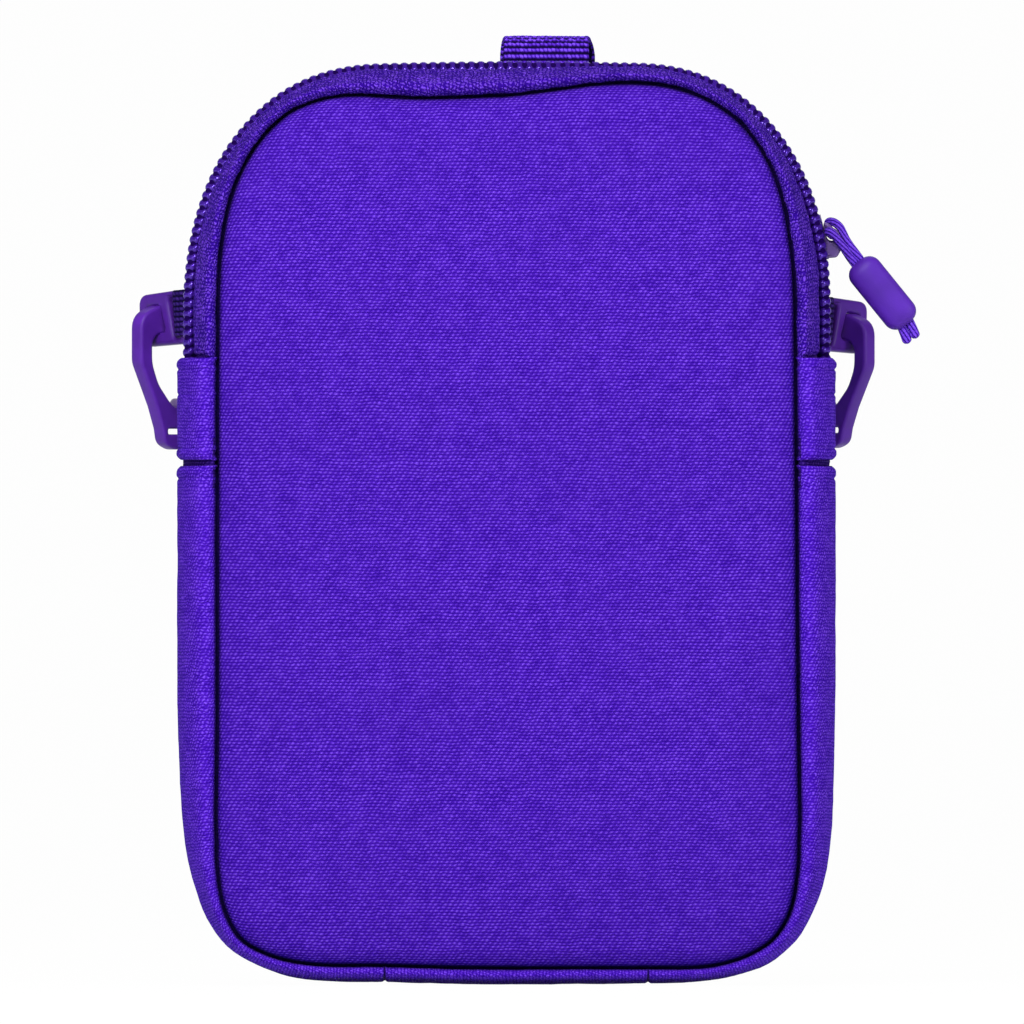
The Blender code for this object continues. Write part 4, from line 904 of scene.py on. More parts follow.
def panel_grid(side, front, rise, samples=420, rows=46):
    """Outer skin of a panel, from its seam to near the middle, with cloth places and the painted
    shade of its seam valley.
    """
    lengths = np.linspace(0.0, PATH.total, samples, endpoint=False)
    inset = seam_inset(lengths, front) + SEAM_GROOVE
    _, _, nx, nz = PATH.at(lengths)
    middle = np.array(MIDDLE)
    near_rows = 20
    inner = PATH.place(lengths, inset + PANEL_BAND, 0.0)
    reach = np.linalg.norm(inner - middle, axis=1)
    lines = [(PATH.place(lengths, inset + distance, 0.0), np.full(samples, distance))
             for distance in np.linspace(0.0, 1.0, near_rows) ** 1.5 * PANEL_BAND]
    lines += [(inner + (middle - inner) * share, PANEL_BAND + reach * share)
              for share in np.linspace(0.0, 1.0, rows - near_rows + 1)[1:] * 0.97]
    grid = []
    for points, distance in lines:
        turn = np.clip(distance / SEAM_SHOULDER, 0.0, 1.0)
        edge = SEAM_VALLEY * np.sqrt(1.0 - (1.0 - turn) ** 2)
        crown = rise * (1.0 - np.exp(-distance / CROWN_REACH))
        pucker = np.exp(-distance / PUCKER_REACH) * np.clip(distance / PUCKER_START, 0.0, 1.0)
        lift = []
        for (x, _, z), length, gone, share in zip(points, lengths, distance, pucker):
            wave = WAVE_HEIGHT * fractal((x, 0.0, z), WAVE_LUMP, 3.0 + side)
            fold = PUCKER_HEIGHT * fractal((length, gone * 0.4, side), PUCKER_LUMP, 9.0)
            lift.append(wave * min(1.0, gone / WAVE_START) + fold * share)
        points[:, 1] = side * (SEAM_DEPTH + edge + crown - 0.0002 + np.array(lift))
        grid.append(points)
    grid = np.array(grid)
    steps = np.linalg.norm(np.diff(grid, axis=0), axis=-1)
    flat = np.linalg.norm(np.diff(grid[..., (0, 2)], axis=0), axis=-1)
    excess = np.concatenate((np.cumsum((steps - flat)[::-1], axis=0)[::-1],
                             np.zeros((1, samples))))
    cloth = np.stack([grid[..., 0] + nx * excess, grid[..., 2] + nz * excess], -1)
    # Painted shade: 0 deep in the seam valley, rising to 1 out on the panel.
    out = np.clip((np.abs(grid[..., 1]) - SEAM_DEPTH) / SEAM_VALLEY * 2.2 - 0.30, 0.0, 1.0)
    return grid, cloth, out


def hem_lift(distance, hem):
    """Height of a folded hem over the cloth: rounded at its edge, creased at its stitching."""
    edge = -HEM_ROUND * max(0.0, 1.0 - distance / HEM_ROUND_WIDTH) ** 2
    fold = HEM_RISE * max(0.0, 1.0 - max(0.0, distance - hem * 0.7) / (hem * 0.4))
    return edge + fold - dent(distance - hem, STITCH_SINK, STITCH_WIDTH)


def dent(distance, depth, width):
    """Depth of a soft furrow at a distance from its middle."""
    return depth * math.exp(-(distance / width) ** 2)


def band_lengths(start, end, spacing, hems, creases, both):
    """Arc lengths of a band's rows, closer together at hems, creases and ends in a seam."""
    lengths = [np.linspace(start, end, max(6, round(abs(end - start) / spacing)) + 1)]
    for hem, edge, sign in ((hems[0], start, 1.0), (hems[1], end, -1.0)):
        if hem:
            lengths.append(edge + sign * np.linspace(0.0, hem * 1.6, 22))
        elif both:
            lengths.append(edge + sign * np.linspace(0.0, 0.0012, 9))
    lengths += [crease + np.linspace(-0.0009, 0.0009, 11) for crease in creases]
    lengths = np.clip(np.concatenate(lengths), min(start, end), max(start, end))
    return np.unique(np.round(lengths, 7))


def seam_shade(gone, depths, both):
    """How far the points of a band are out of the painted shade of its seams, from 0 to 1."""
    valley = (np.abs(depths) - SEAM_DEPTH) / SEAM_VALLEY
    at_seam = np.minimum(gone, gone[-1] - gone) if both else gone
    shade = np.clip(at_seam / SEAM_SHADE * 1.15 - 0.20, 0.0, 1.0)
    return np.where(at_seam < SEAM_SHADE, np.minimum(shade, np.clip(valley * 2.2, 0.0, 1.0)), 1.0)


def band_shell(name, start, end, section, finish, wall=CLOTH_WALL, points=44, spacing=0.0016,
               hems=(None, None), creases=(), crumple=0.00012, grain=0.007, tucks=(),
               both=False):
    """A cloth band along the crown path, with hems at its ends and stitched creases.

    Both says that both edges of its section lie in a seam, and its ends in one where they have
    no hem.
    """
    ends = tuple(zip(hems, (start, end)))
    grid, cloth, out = [], [], []
    for length in band_lengths(start, end, spacing, hems, creases, both):
        line = curve_through(section(float(length)), points)
        drops, depths = line.T
        step = np.gradient(line, axis=0)
        across, deep = np.abs(step.T) / np.hypot(*step.T)
        gone = travelled(line)
        lift = 0.0
        for hem, edge in ends:
            if hem:
                lift += hem_lift(abs(length - edge), hem)
            elif both:
                lift -= dent(length - edge, END_SINK, END_WIDTH)
        for crease in creases:
            lift -= dent(length - crease, CREASE_SINK, CREASE_WIDTH)
        puff = np.array([crumple * (fractal((length, depth, 0.0), grain, 5.0)
                                    + 0.5 * fractal((length - depth * 0.6, depth * 1.6, 4.0),
                                                    grain * 0.4, 8.0))
                         for depth in depths])
        push = (lift + puff) * np.sin(np.linspace(0.05, math.pi - 0.05, points)) ** 0.3
        drops = drops - push * deep
        depths = depths + push * np.sign(depths) * across
        for edge in tucks:
            share = 1.0 - (abs(length - edge) - TUCK_HALF) / TUCK_FADE
            tuck = TUCK * min(1.0, max(0.0, share))
            drops = drops + tuck * np.clip((gone - 0.002) / 0.003, 0.0, 1.0)
            depths = depths - tuck * np.sign(depths)
        along = np.full(points, length)
        grid.append(PATH.place(along, drops, depths))
        cloth.append(np.stack([gone, along], -1))
        # Painted shade at the band's seams, and at its ends that lie in a seam with no hem.
        shade = seam_shade(gone, line[:, 1], both)
        for hem, edge in ends:
            if both and not hem:
                shade = shade * min(1.0, 0.1 + abs(length - edge) / 0.0004)
        out.append(shade)
    return shell(name, np.array(grid), wall, finish, np.array(cloth), np.array(out))


def side_section(length):
    """Gusset section from the front seam, over the flat middle, to the back seam."""
    stand = float(around(SIDE_INSET, length))
    halves = []
    for front in (True, False):
        inset = float(seam_inset(length, front))
        halves.append([(stand + (inset - stand) * (1.0 - share) - toward,
                        -depth if front else depth) for share, toward, depth in SIDE_SECTION])
    return halves[0] + [(stand, 0.0)] + halves[1][::-1]


def strip_section(side):
    """Zip strip section from its seam to the folded edge beside the teeth."""
    def section(length):
        inset = float(seam_inset(length, side < 0))
        bulge = STRIP_DROP * float(around(STRIP_BULGE, length))
        points = [(inset + (bulge - inset) * share - toward, depth)
                  for share, toward, depth in STRIP_SECTION]
        points += [((bulge + STRIP_DROP) / 2, 0.0098), (STRIP_DROP + 0.0001, STRIP_EDGE_DEPTH),
                   (STRIP_DROP + 0.0006, STRIP_EDGE_DEPTH - 0.0002)]
        return [(drop, side * depth) for drop, depth in points]

    return section


def under_section(length):
    """Cloth in painted shade that shows between a gusset and the end tab over it."""
    inset = float(seam_inset(length))
    return [(min(drop + 0.0011, inset), depth * 0.955) for drop, depth in side_section(length)]


def lining_section(length):
    """Section of the gusset's lining, a little inside the gusset."""
    inset = float(seam_inset(length, False))
    half = [(inset * 0.55 + 0.0026, 0.0168), (inset * 0.25 + 0.0025, 0.0150),
            (0.0026, 0.0115), (0.0025, 0.0060)]
    return [(drop, -depth) for drop, depth in half] + [(0.0025, 0.0)] + half[::-1]


def make_panels():
    for name, side, finish, rise, fill, body, nodes in (
            ("front", -1, "canvas", PANEL_RISE, 0.5, None,
             ("front_panel_lower", "front_panel_upper")),
            ("back", 1, "canvas_back", BACK_RISE, 0.35, "pouch", ("back_panel",))):
        grid, cloth, out = panel_grid(side, side < 0, rise)
        piece = shell(name + "_cloth", grid, CLOTH_WALL, finish, cloth, out, True, True)
        attach(piece, body, *nodes)


def binding(name, side, body):
    """Seam binding behind the groove between a panel and the bands round it, all in painted shade."""
    lengths = np.linspace(0.0, PATH.total, 300, endpoint=False)
    inset = seam_inset(lengths, side < 0)
    grid = np.array([PATH.place(lengths, inset + margin, side * depth)
                     for margin, depth in BINDING_SECTION])
    cloth = np.stack(np.broadcast_arrays(lengths[None, :], np.arange(4)[:, None] * 0.001), -1)
    # Painted shade: the darkened cloth, with its out number held at 0.3 all over.
    attach(shell(name, grid, CLOTH_WALL, "canvas_under", cloth, np.full((4, 300), 0.3), True),
           body)


def make_sides():
    """Bindings, gussets, the bottom piece and the end tabs, with cloth in painted shade under the
    tabs.
    """
    half_gap = 0.00002
    right_seam = BOTTOM_SEAM_RIGHT
    left_seam = PATH.total - BOTTOM_SEAM_LEFT
    right_top, left_top = (PATH.length_at(GUSSET_TOP, side) for side in (1, -1))
    binding("binding_front", -1, None)
    binding("binding_back", 1, "pouch")
    for name, node, start, end, hems in (
            ("side_cloth_right", "gusset_right", right_seam + half_gap, right_top, (None, HEM)),
            ("side_cloth_left", "gusset_left", left_top, left_seam - half_gap, (HEM, None)),
            ("bottom_cloth", "bottom_panel", left_seam + half_gap - PATH.total,
             right_seam - half_gap, (None, None))):
        piece = band_shell(name, start, end, side_section, "canvas_side", hems=hems, both=True)
        attach(piece, "pouch", node)
    for side_name, side in SIDES:
        ends = sorted(PATH.length_at(height, side) for height in (TAB_BOTTOM, TAB_TOP))
        piece = band_shell("end_tab_" + side_name, *ends, side_section, "canvas_side",
                           spacing=0.0008, hems=(TAB_HEM, TAB_HEM),
                           creases=(PATH.length_at(TAB_TOP - TAB_CREASE_DROP, side),),
                           crumple=0.00016, grain=0.005, both=True)
        attach(piece, "pouch", "zip_end_tab_" + side_name)
        # Cloth in painted shade under each tab: the cloth darkened to 0.30.
        ends = sorted(PATH.length_at(height, side)
                      for height in (GUSSET_TOP - 0.004, TAB_BOTTOM + 0.004))
        piece = band_shell("end_under_" + side_name, *ends, under_section, "canvas_under",
                           points=30, spacing=0.0006, crumple=0.0002, grain=0.002)
        attach(piece, "pouch")


# Zip

def make_tape(name, start, end, side):
    lengths = np.linspace(start, end, 260)
    offsets = np.linspace(0.00045, 0.00045 + TAPE_WIDTH, 14)
    grid = np.array([PATH.place(np.full(14, length), np.full(14, TAPE_DROP), side * offsets)
                     for length in lengths])
    return shell(name, grid, TAPE_WALL, "tape", np.stack(np.meshgrid(offsets, lengths), -1))


def make_coil(name, start, end, side):
    """One side of the zip: a filament wound in a flattened helix, with a lobe on each bend."""
    turns = round((end - start) / COIL_PITCH)
    count = turns * COIL_TURN_STEPS
    angles = np.linspace(0.0, 2 * math.pi * turns, count + 1)
    if side > 0:
        angles = angles + 2 * math.pi
    outs, ups = np.cos(angles), np.sin(angles)
    bend = np.arctan2(ups, outs)
    upright = COIL_SLANT * np.sin(bend - math.radians(COIL_SLANT_DEG)) / (2 * math.pi)
    lengths = np.linspace(start, end, count + 1) - upright * COIL_PITCH
    lobes = sum(size * np.exp(-((bend - math.radians(place)) / width) ** 2)
                for place, width, size in COIL_LOBES) * COIL_LOBE
    heads = ((1.0 - outs) / 2) ** 3
    drops = COIL_DROP + around(COIL_INSET, lengths) - COIL_INSET_BASE
    depth_axis = Vector((0.0, side, 0.0))
    corners = full_turn(COIL_SIDES)
    rings = []
    for x, z, nx, nz, out, up, lobe, head, drop in np.stack(
            (*PATH.at(lengths), outs, ups, lobes, heads, drops), -1):
        normal = Vector((nx, 0.0, nz))
        reach = COIL_MIDDLE + out * COIL_HALF_WIDTH * (1.0 if out > 0 else COIL_BACK_REACH)
        centre = Vector((x, 0.0, z)) + normal * (up * COIL_HALF_HEIGHT - drop) + depth_axis * reach
        outward = (normal * up * COIL_HALF_WIDTH + depth_axis * out * COIL_HALF_HEIGHT).normalized()
        along = COIL_FILAMENT + lobe
        tangent = Vector((-nz, 0.0, nx)) * (along + (COIL_HEAD - along) * head)
        outward *= COIL_FILAMENT * 0.74 + lobe * 0.48
        rings.append([centre + tangent * math.cos(turn) + outward * math.sin(turn)
                      for turn in corners])
    return loft(name, rings, "teeth", 0.0005, [row * 0.0004 for row in range(count + 1)])


def make_core(name, start, end, side):
    """Filler cord that runs through the turns of the filament."""
    lengths = np.linspace(start, end, 420)
    drops = COIL_DROP + around(COIL_INSET, lengths) - COIL_INSET_BASE
    line = PATH.place(lengths, drops, side * (COIL_MIDDLE + 0.0002))
    return tube(name, line, [(COIL_CORE_DEPTH, COIL_CORE)] * 420, "core", 14)


def make_zip():
    """Strips, tapes, teeth and cores of both rows, each from one end tab to the other."""
    strip_ends, tape_ends, teeth_ends = (
        [PATH.length_at(height, side) for side in (1, -1)]
        for height in (TAB_TOP - STRIP_TAIL, GUSSET_TOP - TAPE_TAIL, TAB_TOP - COIL_TAIL))
    for name, side, body, nodes, points, spacing in (
            ("front", -1, None, ("_front_upper", "_front_right", "_front_left"), 64, 0.00055),
            ("rear", 1, "pouch", ("_rear",), 40, 0.0011)):
        strip = band_shell("strip_cloth_" + name, *strip_ends, strip_section(side),
                           "canvas_strip", points=points, spacing=spacing, crumple=0.00024,
                           grain=0.0032, tucks=strip_ends)
        attach(strip, body, *["zip_strip" + node for node in nodes])
        tape = make_tape("tape_" + name, *tape_ends, side)
        attach(tape, body, *["zip_tape" + node for node in nodes])
        coil = make_coil("coil_" + name, *teeth_ends, side)
        attach(coil, body, *["zip_teeth" + node for node in nodes])
        attach(make_core("coil_core_" + name, *teeth_ends, side), body)


# Foam and lining inside

def slab(name, side, finish, outer_depth, wall, rise, samples=160):
    """A sheet inside the panel, flat or domed a little, from its rim to the middle."""
    lengths = np.linspace(0.0, PATH.total, samples, endpoint=False)
    inset = np.maximum(seam_inset(lengths, side < 0), seam_inset(lengths, False)) + 0.0012
    rim = PATH.place(lengths, inset, 0.0)
    middle = np.array(MIDDLE)
    grid = []
    for share in (0.0, 0.01, 0.03, 0.07, 0.14, 0.25, 0.4, 0.6, 0.8, 0.97):
        points = rim + (middle - rim) * share
        points[:, 1] = side * (outer_depth + rise * (1.0 - (1.0 - share) ** 5))
        grid.append(points)
    grid = np.array(grid)
    return shell(name, grid, wall, finish, grid[..., (0, 2)], None, True, True)


def make_inside():
    foam_depth = HALF_DEPTH - 0.0017
    for name, side, rise, body, ends in (
            ("front", -1, PANEL_RISE, None, ("_lower", "_upper")),
            ("back", 1, BACK_RISE, "pouch", ("",))):
        pad = slab(name + "_foam", side, "padding", foam_depth - 0.0003, 0.0018, rise * 0.9)
        attach(pad, body, *[name + "_padding" + end for end in ends])
        sheet = slab(name + "_lining_cloth", side, "lining", foam_depth - 0.0022, LINING_WALL, 0.0)
        attach(sheet, body, *[name + "_lining" + end for end in ends])
    low, high = (PATH.length_at(GUSSET_TOP, side) for side in (1, -1))
    piece = band_shell("side_lining", high - PATH.total, low, lining_section, "lining",
                       wall=LINING_WALL, points=24, spacing=0.004)
    attach(piece, "pouch", "gusset_lining")


# Webbing, rings, clips, slider and puller

def rounded_outline(corners, steps=7):
    """Outline through corners of (across, up, radius), each corner turned by a smooth arc."""
    points = []
    count = len(corners)
    for index, (across, up, radius) in enumerate(corners):
        here = Vector((across, up))
        before = Vector(corners[index - 1][:2])
        after = Vector(corners[(index + 1) % count][:2])
        towards = (before - here).normalized()
        away = (after - here).normalized()
        half_angle = towards.angle(away) / 2
        room = min((before - here).length, (after - here).length) * 0.49
        cut = min(radius / math.tan(half_angle), room)
        start = here + towards * cut
        end = here + away * cut
        for step in range(steps + 1):
            share = step / steps
            blend = start * (1 - share) ** 2 + here * (2 * share * (1 - share)) + end * share ** 2
            if not points or (blend - Vector(points[-1])).length > 0.00002:
                points.append(tuple(blend))
    if (Vector(points[0]) - Vector(points[-1])).length < 0.00002:
        points.pop()
    return np.array(points)


def box_outline(left, low, right, high, radius, steps=7):
    return rounded_outline(((left, low, radius), (right, low, radius), (right, high, radius),
                            (left, high, radius)), steps)


def inset_outline(points, distance):
    """A closed outline moved to the left of its direction."""
    lefts = []
    for step in (points - np.roll(points, 1, 0), np.roll(points, -1, 0) - points):
        step = step / np.linalg.norm(step, axis=1, keepdims=True)
        lefts.append(np.stack([-step[:, 1], step[:, 0]], -1))
    bisector = lefts[0] + lefts[1]
    bisector /= np.linalg.norm(bisector, axis=1, keepdims=True)
    reach = distance / np.maximum(np.sum(bisector * lefts[0], 1), 0.5)
    return points + bisector * reach[:, None]


def moulded_plate(name, outer, holes, thickness, edge, place, finish, steps=5):
    """A moulded plate in its own XZ plane, with rounded edges and windows, set at a place."""
    turns = [math.pi / 2 * step / steps for step in range(steps + 1)]
    layers = [(edge * (1 - math.cos(turn)) - thickness / 2, edge * (1 - math.sin(turn)))
              for turn in turns]
    layers += [(-depth, shrink) for depth, shrink in reversed(layers)]
    build = bmesh.new()
    rows = [[[build.verts.new(place @ Vector((x, depth, z)))
              for x, z in inset_outline(loop, shrink)] for loop in (outer, *holes)]
            for depth, shrink in layers]
    for low, high in zip(rows, rows[1:]):
        for low_loop, high_loop in zip(low, high):
            for j in range(len(low_loop)):
                k = (j + 1) % len(low_loop)
                face = build.faces.new((low_loop[j], low_loop[k], high_loop[k], high_loop[j]))
                face.smooth = True
    back = place.inverted()
    for row in (rows[0], rows[-1]):
        flat = [vert for loop in row for vert in loop]
        polygons = [[Vector((*(back @ vert.co).xz, 0.0)) for vert in loop] for loop in row]
        for triangle in tessellate_polygon(polygons):
            build.faces.new([flat[index] for index in triangle])
    return finished(name, build, finish, False)


def make_top_loop():
    """Ribbed webbing that stands in an arch over the rear strip."""
    rows, columns = 150, 110
    turns = np.linspace(0.0, math.pi, rows)
    middle = (LOOP_FRONT_DEPTH + LOOP_BACK_DEPTH) / 2
    half = (LOOP_BACK_DEPTH - LOOP_FRONT_DEPTH) / 2
    depth = middle - half * np.sign(np.cos(turns)) * np.abs(np.cos(turns)) ** 0.6
    height = LOOP_FOOT + (LOOP_CREST - LOOP_FOOT) * np.sin(turns) ** 0.5
    spread = np.clip(turns / math.pi * 2.2 - 0.9, 0.0, 1.0)
    gone = travelled(np.stack([depth, height], -1))
    even = np.linspace(0.0, gone[-1], rows)
    left, right, depth, height = (
        np.interp(even, gone, values)[:, None]
        for values in (LOOP_LEFT - LOOP_SPREAD_LEFT * spread,
                       LOOP_RIGHT + LOOP_SPREAD_RIGHT * spread, depth, height))
    shares = np.linspace(0.0, 1.0, columns)
    base = np.stack(np.broadcast_arrays(left + (right - left) * shares, depth, height), -1)
    centre = (0.0, middle, LOOP_FOOT)
    crest = gone[-1] / 2
    rib_place = (even - crest) / LOOP_ROW
    rib = np.abs(np.cos(math.pi * rib_place))[:, None]
    lean = base[..., 0] / LOOP_BUMP + 0.5 * (np.round(rib_place) % 2)[:, None]
    bump = np.abs(np.sin(math.pi * lean)) ** 0.7
    hemmed = np.clip(np.minimum(shares, 1.0 - shares)[None, :] / 0.02, 0.0, 1.0) ** 0.5
    lift = LOOP_RIB * (rib ** 0.8 * (0.35 + 0.65 * bump)) * hemmed - LOOP_HEM * (1.0 - hemmed)
    wave = np.array([[LOOP_WAVE * fractal((x, gone_here, 0.0), 0.004, 2.0) for x in line]
                     for line, gone_here in zip(base[..., 0], even)])
    grid = base + outward_normals(base, False, centre) * (lift + wave - LOOP_RIB)[..., None]
    cloth = np.meshgrid(shares * (LOOP_RIGHT - LOOP_LEFT), even - crest + LOOP_ROW * 100.5)
    # Painted shade in the grooves between the ribs.
    out = np.clip(rib * 1.5 - 0.35, 0.0, 1.0) * np.ones((1, columns))
    piece = shell("loop_webbing", grid, LOOP_WALL, "webbing", np.stack(cloth, -1), out,
                  centre=centre)
    attach(piece, "pouch", "top_loop")


def ring_place(side_name, side):
    yaw = math.radians(RING_YAW_DEG)
    turn = Euler((0.0, math.radians(RING_ROLL_DEG), yaw if side > 0 else math.pi - yaw))
    spot = Vector((side * RING_SPREADS[side_name], RING_DEPTH, RING_LEVELS[side_name]))
    return Matrix.Translation(spot) @ turn.to_matrix().to_4x4()


def make_ring(side_name, place):
    """Moulded ring: one window for the webbing and one for the clip, with a leaning bar."""
    half = RING_HEIGHT / 2
    slope = RING_TAPER / (RING_OUTER_EDGE - RING_INNER_EDGE)

    def top(out):
        return half - slope * (out - RING_INNER_EDGE)

    def window(start, end, start_lean, end_lean, rail):
        places = ((start - start_lean, rail - half), (start, top(start) - rail),
                  (end, top(end) - rail), (end - end_lean, rail - half))
        return rounded_outline([(*place, RING_WINDOW_CORNER) for place in places])

    outer = rounded_outline(((RING_INNER_EDGE, -half, RING_INNER_CORNER),
                             (RING_OUTER_EDGE, -half, RING_CORNER),
                             (RING_OUTER_EDGE, top(RING_OUTER_EDGE), RING_CORNER),
                             (RING_INNER_EDGE, half, RING_INNER_CORNER)))
    holes = (window(RING_WINDOW_START, RING_MIDDLE_START, 0.0, RING_LEAN, RING_THIN_RAIL),
             window(RING_MIDDLE_END, RING_WINDOW_END, RING_LEAN, 0.0, RING_RAIL))
    # Its finish, ring, is the moulded colour darkened as painted shade.
    piece = moulded_plate("ring_" + side_name, outer, holes, RING_THICKNESS, RING_ROUND, place,
                          "ring")
    attach(piece, "ring_" + side_name, "side_ring_" + side_name)


def make_webbing_tab(side_name, side):
    """Webbing folded round the ring's inner bar, with both ends sewn into the back seam."""
    axis = Vector((side * RING_SPREADS[side_name], RING_DEPTH))
    level = RING_LEVELS[side_name]
    seam = Vector((side * (HALF_WIDTH - WEBBING_SEWN_IN), HALF_DEPTH - 0.0002))
    towards = (seam - axis).normalized()
    left = Vector((-towards.y, towards.x))
    reach = (seam - axis).length + 0.001
    radius = WEBBING_EYE + WEBBING_WALL
    eye = [(radius * math.cos(angle), radius * math.sin(angle))
           for angle in np.radians(np.linspace(WEBBING_EYE_DEG, 360.0 - WEBBING_EYE_DEG, 15))]
    legs = ((reach, WEBBING_HALF_GAP), (radius * 1.3, WEBBING_HALF_NECK))
    points = [towards * out + left * up
              for out, up in (*legs, *eye, *[(out, -up) for out, up in legs[::-1]])]
    line = curve_through(points, 90)
    heights = np.linspace(WEBBING_LOW, WEBBING_HIGH, 60)
    near = np.minimum(heights - WEBBING_LOW, WEBBING_HIGH - heights)
    rim = -WEBBING_RIM * np.maximum(0.0, 1.0 - near / WEBBING_RIM_WIDTH) ** 2
    rib = WEBBING_RIB * np.abs(np.sin(math.pi * heights / WEBBING_ROW))
    grow = 1.0 + ((rim + rib) / radius)[:, None]
    lean = math.sin(math.radians(RING_ROLL_DEG) * side)
    heights = heights[:, None]
    grid = np.stack([axis.x + line[:, 0] * grow + heights * lean, axis.y + line[:, 1] * grow,
                     level + heights - line[:, 0] * lean], -1)
    cloth = np.stack(np.meshgrid(travelled(line), heights), -1)
    piece = shell("ring_webbing_" + side_name, grid, WEBBING_WALL, "webbing_shade", cloth,
                  centre=(*axis, level))
    attach(piece, "pouch", "webbing_tab_" + side_name)


def make_clip(side_name, side, ring):
    """Gated clip: hook, spine and webbing slot, the gate that closes it, and its rivet."""
    height = CLIP_HEIGHTS[side_name]
    outline = rounded_outline([(across * CLIP_WIDTH, up * height, radius * CLIP_WIDTH)
                               for across, up, radius in CLIP_SHARES])
    start, end = (share * CLIP_WIDTH for share in CLIP_SLOT_SHARES)
    slot = box_outline(start, CLIP_SLOT_LOW, end, CLIP_SLOT_LOW + CLIP_SLOT_HEIGHT,
                       CLIP_SLOT_CORNER, 4)
    shift = np.array((CLIP_HANG_SHARE * CLIP_WIDTH, CLIP_HOOK_SHARE * height - CLIP_AXIS_DROP))
    upright = Euler((0.0, math.radians(RING_ROLL_DEG), 0.0)).to_quaternion().inverted()
    facing = Euler((0.0, 0.0, side * math.pi / 2)).to_quaternion()
    place = (ring @ Matrix.Translation((CLIP_HANG_OUT, 0.0, CLIP_HANG_RISE - RING_HEIGHT / 2))
             @ (upright @ facing).to_matrix().to_4x4())
    piece = moulded_plate("clip_" + side_name, (outline - shift)[::-1], ((slot - shift)[::-1],),
                          CLIP_THICKNESS, CLIP_ROUND, place, "moulded")
    attach(piece, "clip_" + side_name, "clip_frame_" + side_name)
    inner, outer, low, high = GATE_SHARES
    gate = box_outline(inner * CLIP_WIDTH, low * height + GATE_GAP, outer * CLIP_WIDTH,
                       high * height - GATE_GAP, GATE_CORNER, 5)
    piece = moulded_plate("gate_" + side_name, gate - shift, (), GATE_THICKNESS, EDGE_ROUND,
                          place, "moulded")
    attach(piece, "gate_" + side_name, "clip_gate_" + side_name)
    middle = Vector((RIVET_SHARES[0] * CLIP_WIDTH - shift[0], 0.0,
                     RIVET_SHARES[1] * height - shift[1]))
    rings = [[place @ (middle + Vector((RIVET_RADIUS * share * math.cos(turn),
                                        CLIP_THICKNESS * RIVET_HALF_SHARE * depth,
                                        RIVET_RADIUS * share * math.sin(turn))))
              for turn in full_turn(20)]
             for depth, share in (*[(-depth, share) for depth, share in RIVET_DOME[::-1]],
                                  *RIVET_DOME)]
    attach(loft("clip_rivet_" + side_name, rings, "rivet"), "clip_" + side_name)


def make_slider():
    """Slider: a wing over the teeth, a floor under the tape, and the bridge for the cord."""
    middle = PATH.length_at(SLIDER_HEIGHT)
    centre = photo_point(BRIDGE_HOLE_PX).xz
    radius = BRIDGE_HOLE_PX[2] * METRES_PER_PX
    turns = full_turn(24)
    hole = np.stack([centre.x + radius * np.cos(turns), centre.y - radius * np.sin(turns)], -1)
    outline = rounded_outline([(*photo_point(corner).xz, corner[2] * METRES_PER_PX)
                               for corner in BRIDGE_PX])[::-1]
    bridge = moulded_plate("slider_bridge", outline, (hole,), BRIDGE_THICKNESS, EDGE_ROUND,
                           Matrix(), "slider")
    attach(bridge, "slider", "slider_body")
    steps, shares = np.linspace(-1.0, 1.0, 25), np.linspace(-1.0, 1.0, 17)
    for name, drop, wall, front in (
            ("slider_wing", SLIDER_WING_DROP, SLIDER_WING_WALL, SLIDER_WING_FRONT),
            ("slider_floor", SLIDER_FLOOR_DROP, SLIDER_FLOOR_WALL, SLIDER_HALF_WIDTH)):
        rows = []
        for step in steps:
            lip = max(0.0, step) ** 2 * 0.35 + max(0.0, abs(step) - 0.8) * 0.9
            rows.append(PATH.place(np.full(17, middle + step * SLIDER_HALF_LENGTH),
                                   drop + SLIDER_CURL * np.abs(shares) ** 4,
                                   np.linspace(-front, SLIDER_HALF_WIDTH, 17) * (1.0 - lip)))
        attach(shell(name, np.array(rows), wall, "wing",
                     np.stack(np.meshgrid(shares, steps), -1) * 0.004), "slider")
    foot = PATH.place(np.full(9, middle), np.linspace(SLIDER_WING_DROP, SLIDER_FLOOR_DROP, 9), 0.0)
    attach(tube("slider_web", foot, [SLIDER_WEB] * 9, "wing", 12), "slider")


def make_cord():
    """The doubled cord: two strands round the bridge into the grip, and its two tails."""
    line = curve_through([photo_point(place, place[2])
                          for place in CORD_UPPER_PX[::-1] + CORD_LOWER_PX[1:]], 150)
    away = np.linalg.norm(line - np.array(photo_point(BRIDGE_HOLE_PX)), axis=1)
    radii = CORD_RADIUS * (1.0 - CORD_PINCH * np.exp(-(away / CORD_PINCH_REACH) ** 2))
    attach(tube("cord_loop", line, np.stack([radii, radii], -1), "cord"), "puller", "puller_cord")
    for letter, places in zip("ab", TAILS_PX):
        line = curve_through([photo_point(place) for place in places], 40)
        reach = np.linalg.norm(line[-1] - line, axis=1)
        round_end = np.sqrt(np.clip(1.0 - (1.0 - np.clip(reach / CORD_RADIUS, 0, 1)) ** 2, 0.02, 1))
        swell = TAIL_SWELL + 0.06 * np.clip(np.linspace(0.0, 1.0, 40) * 3 - 2, 0.0, 1.0)
        radii = CORD_RADIUS * round_end * swell
        attach(tube("cord_tail_" + letter, line, np.stack([radii, radii], -1), "cord"), "puller")


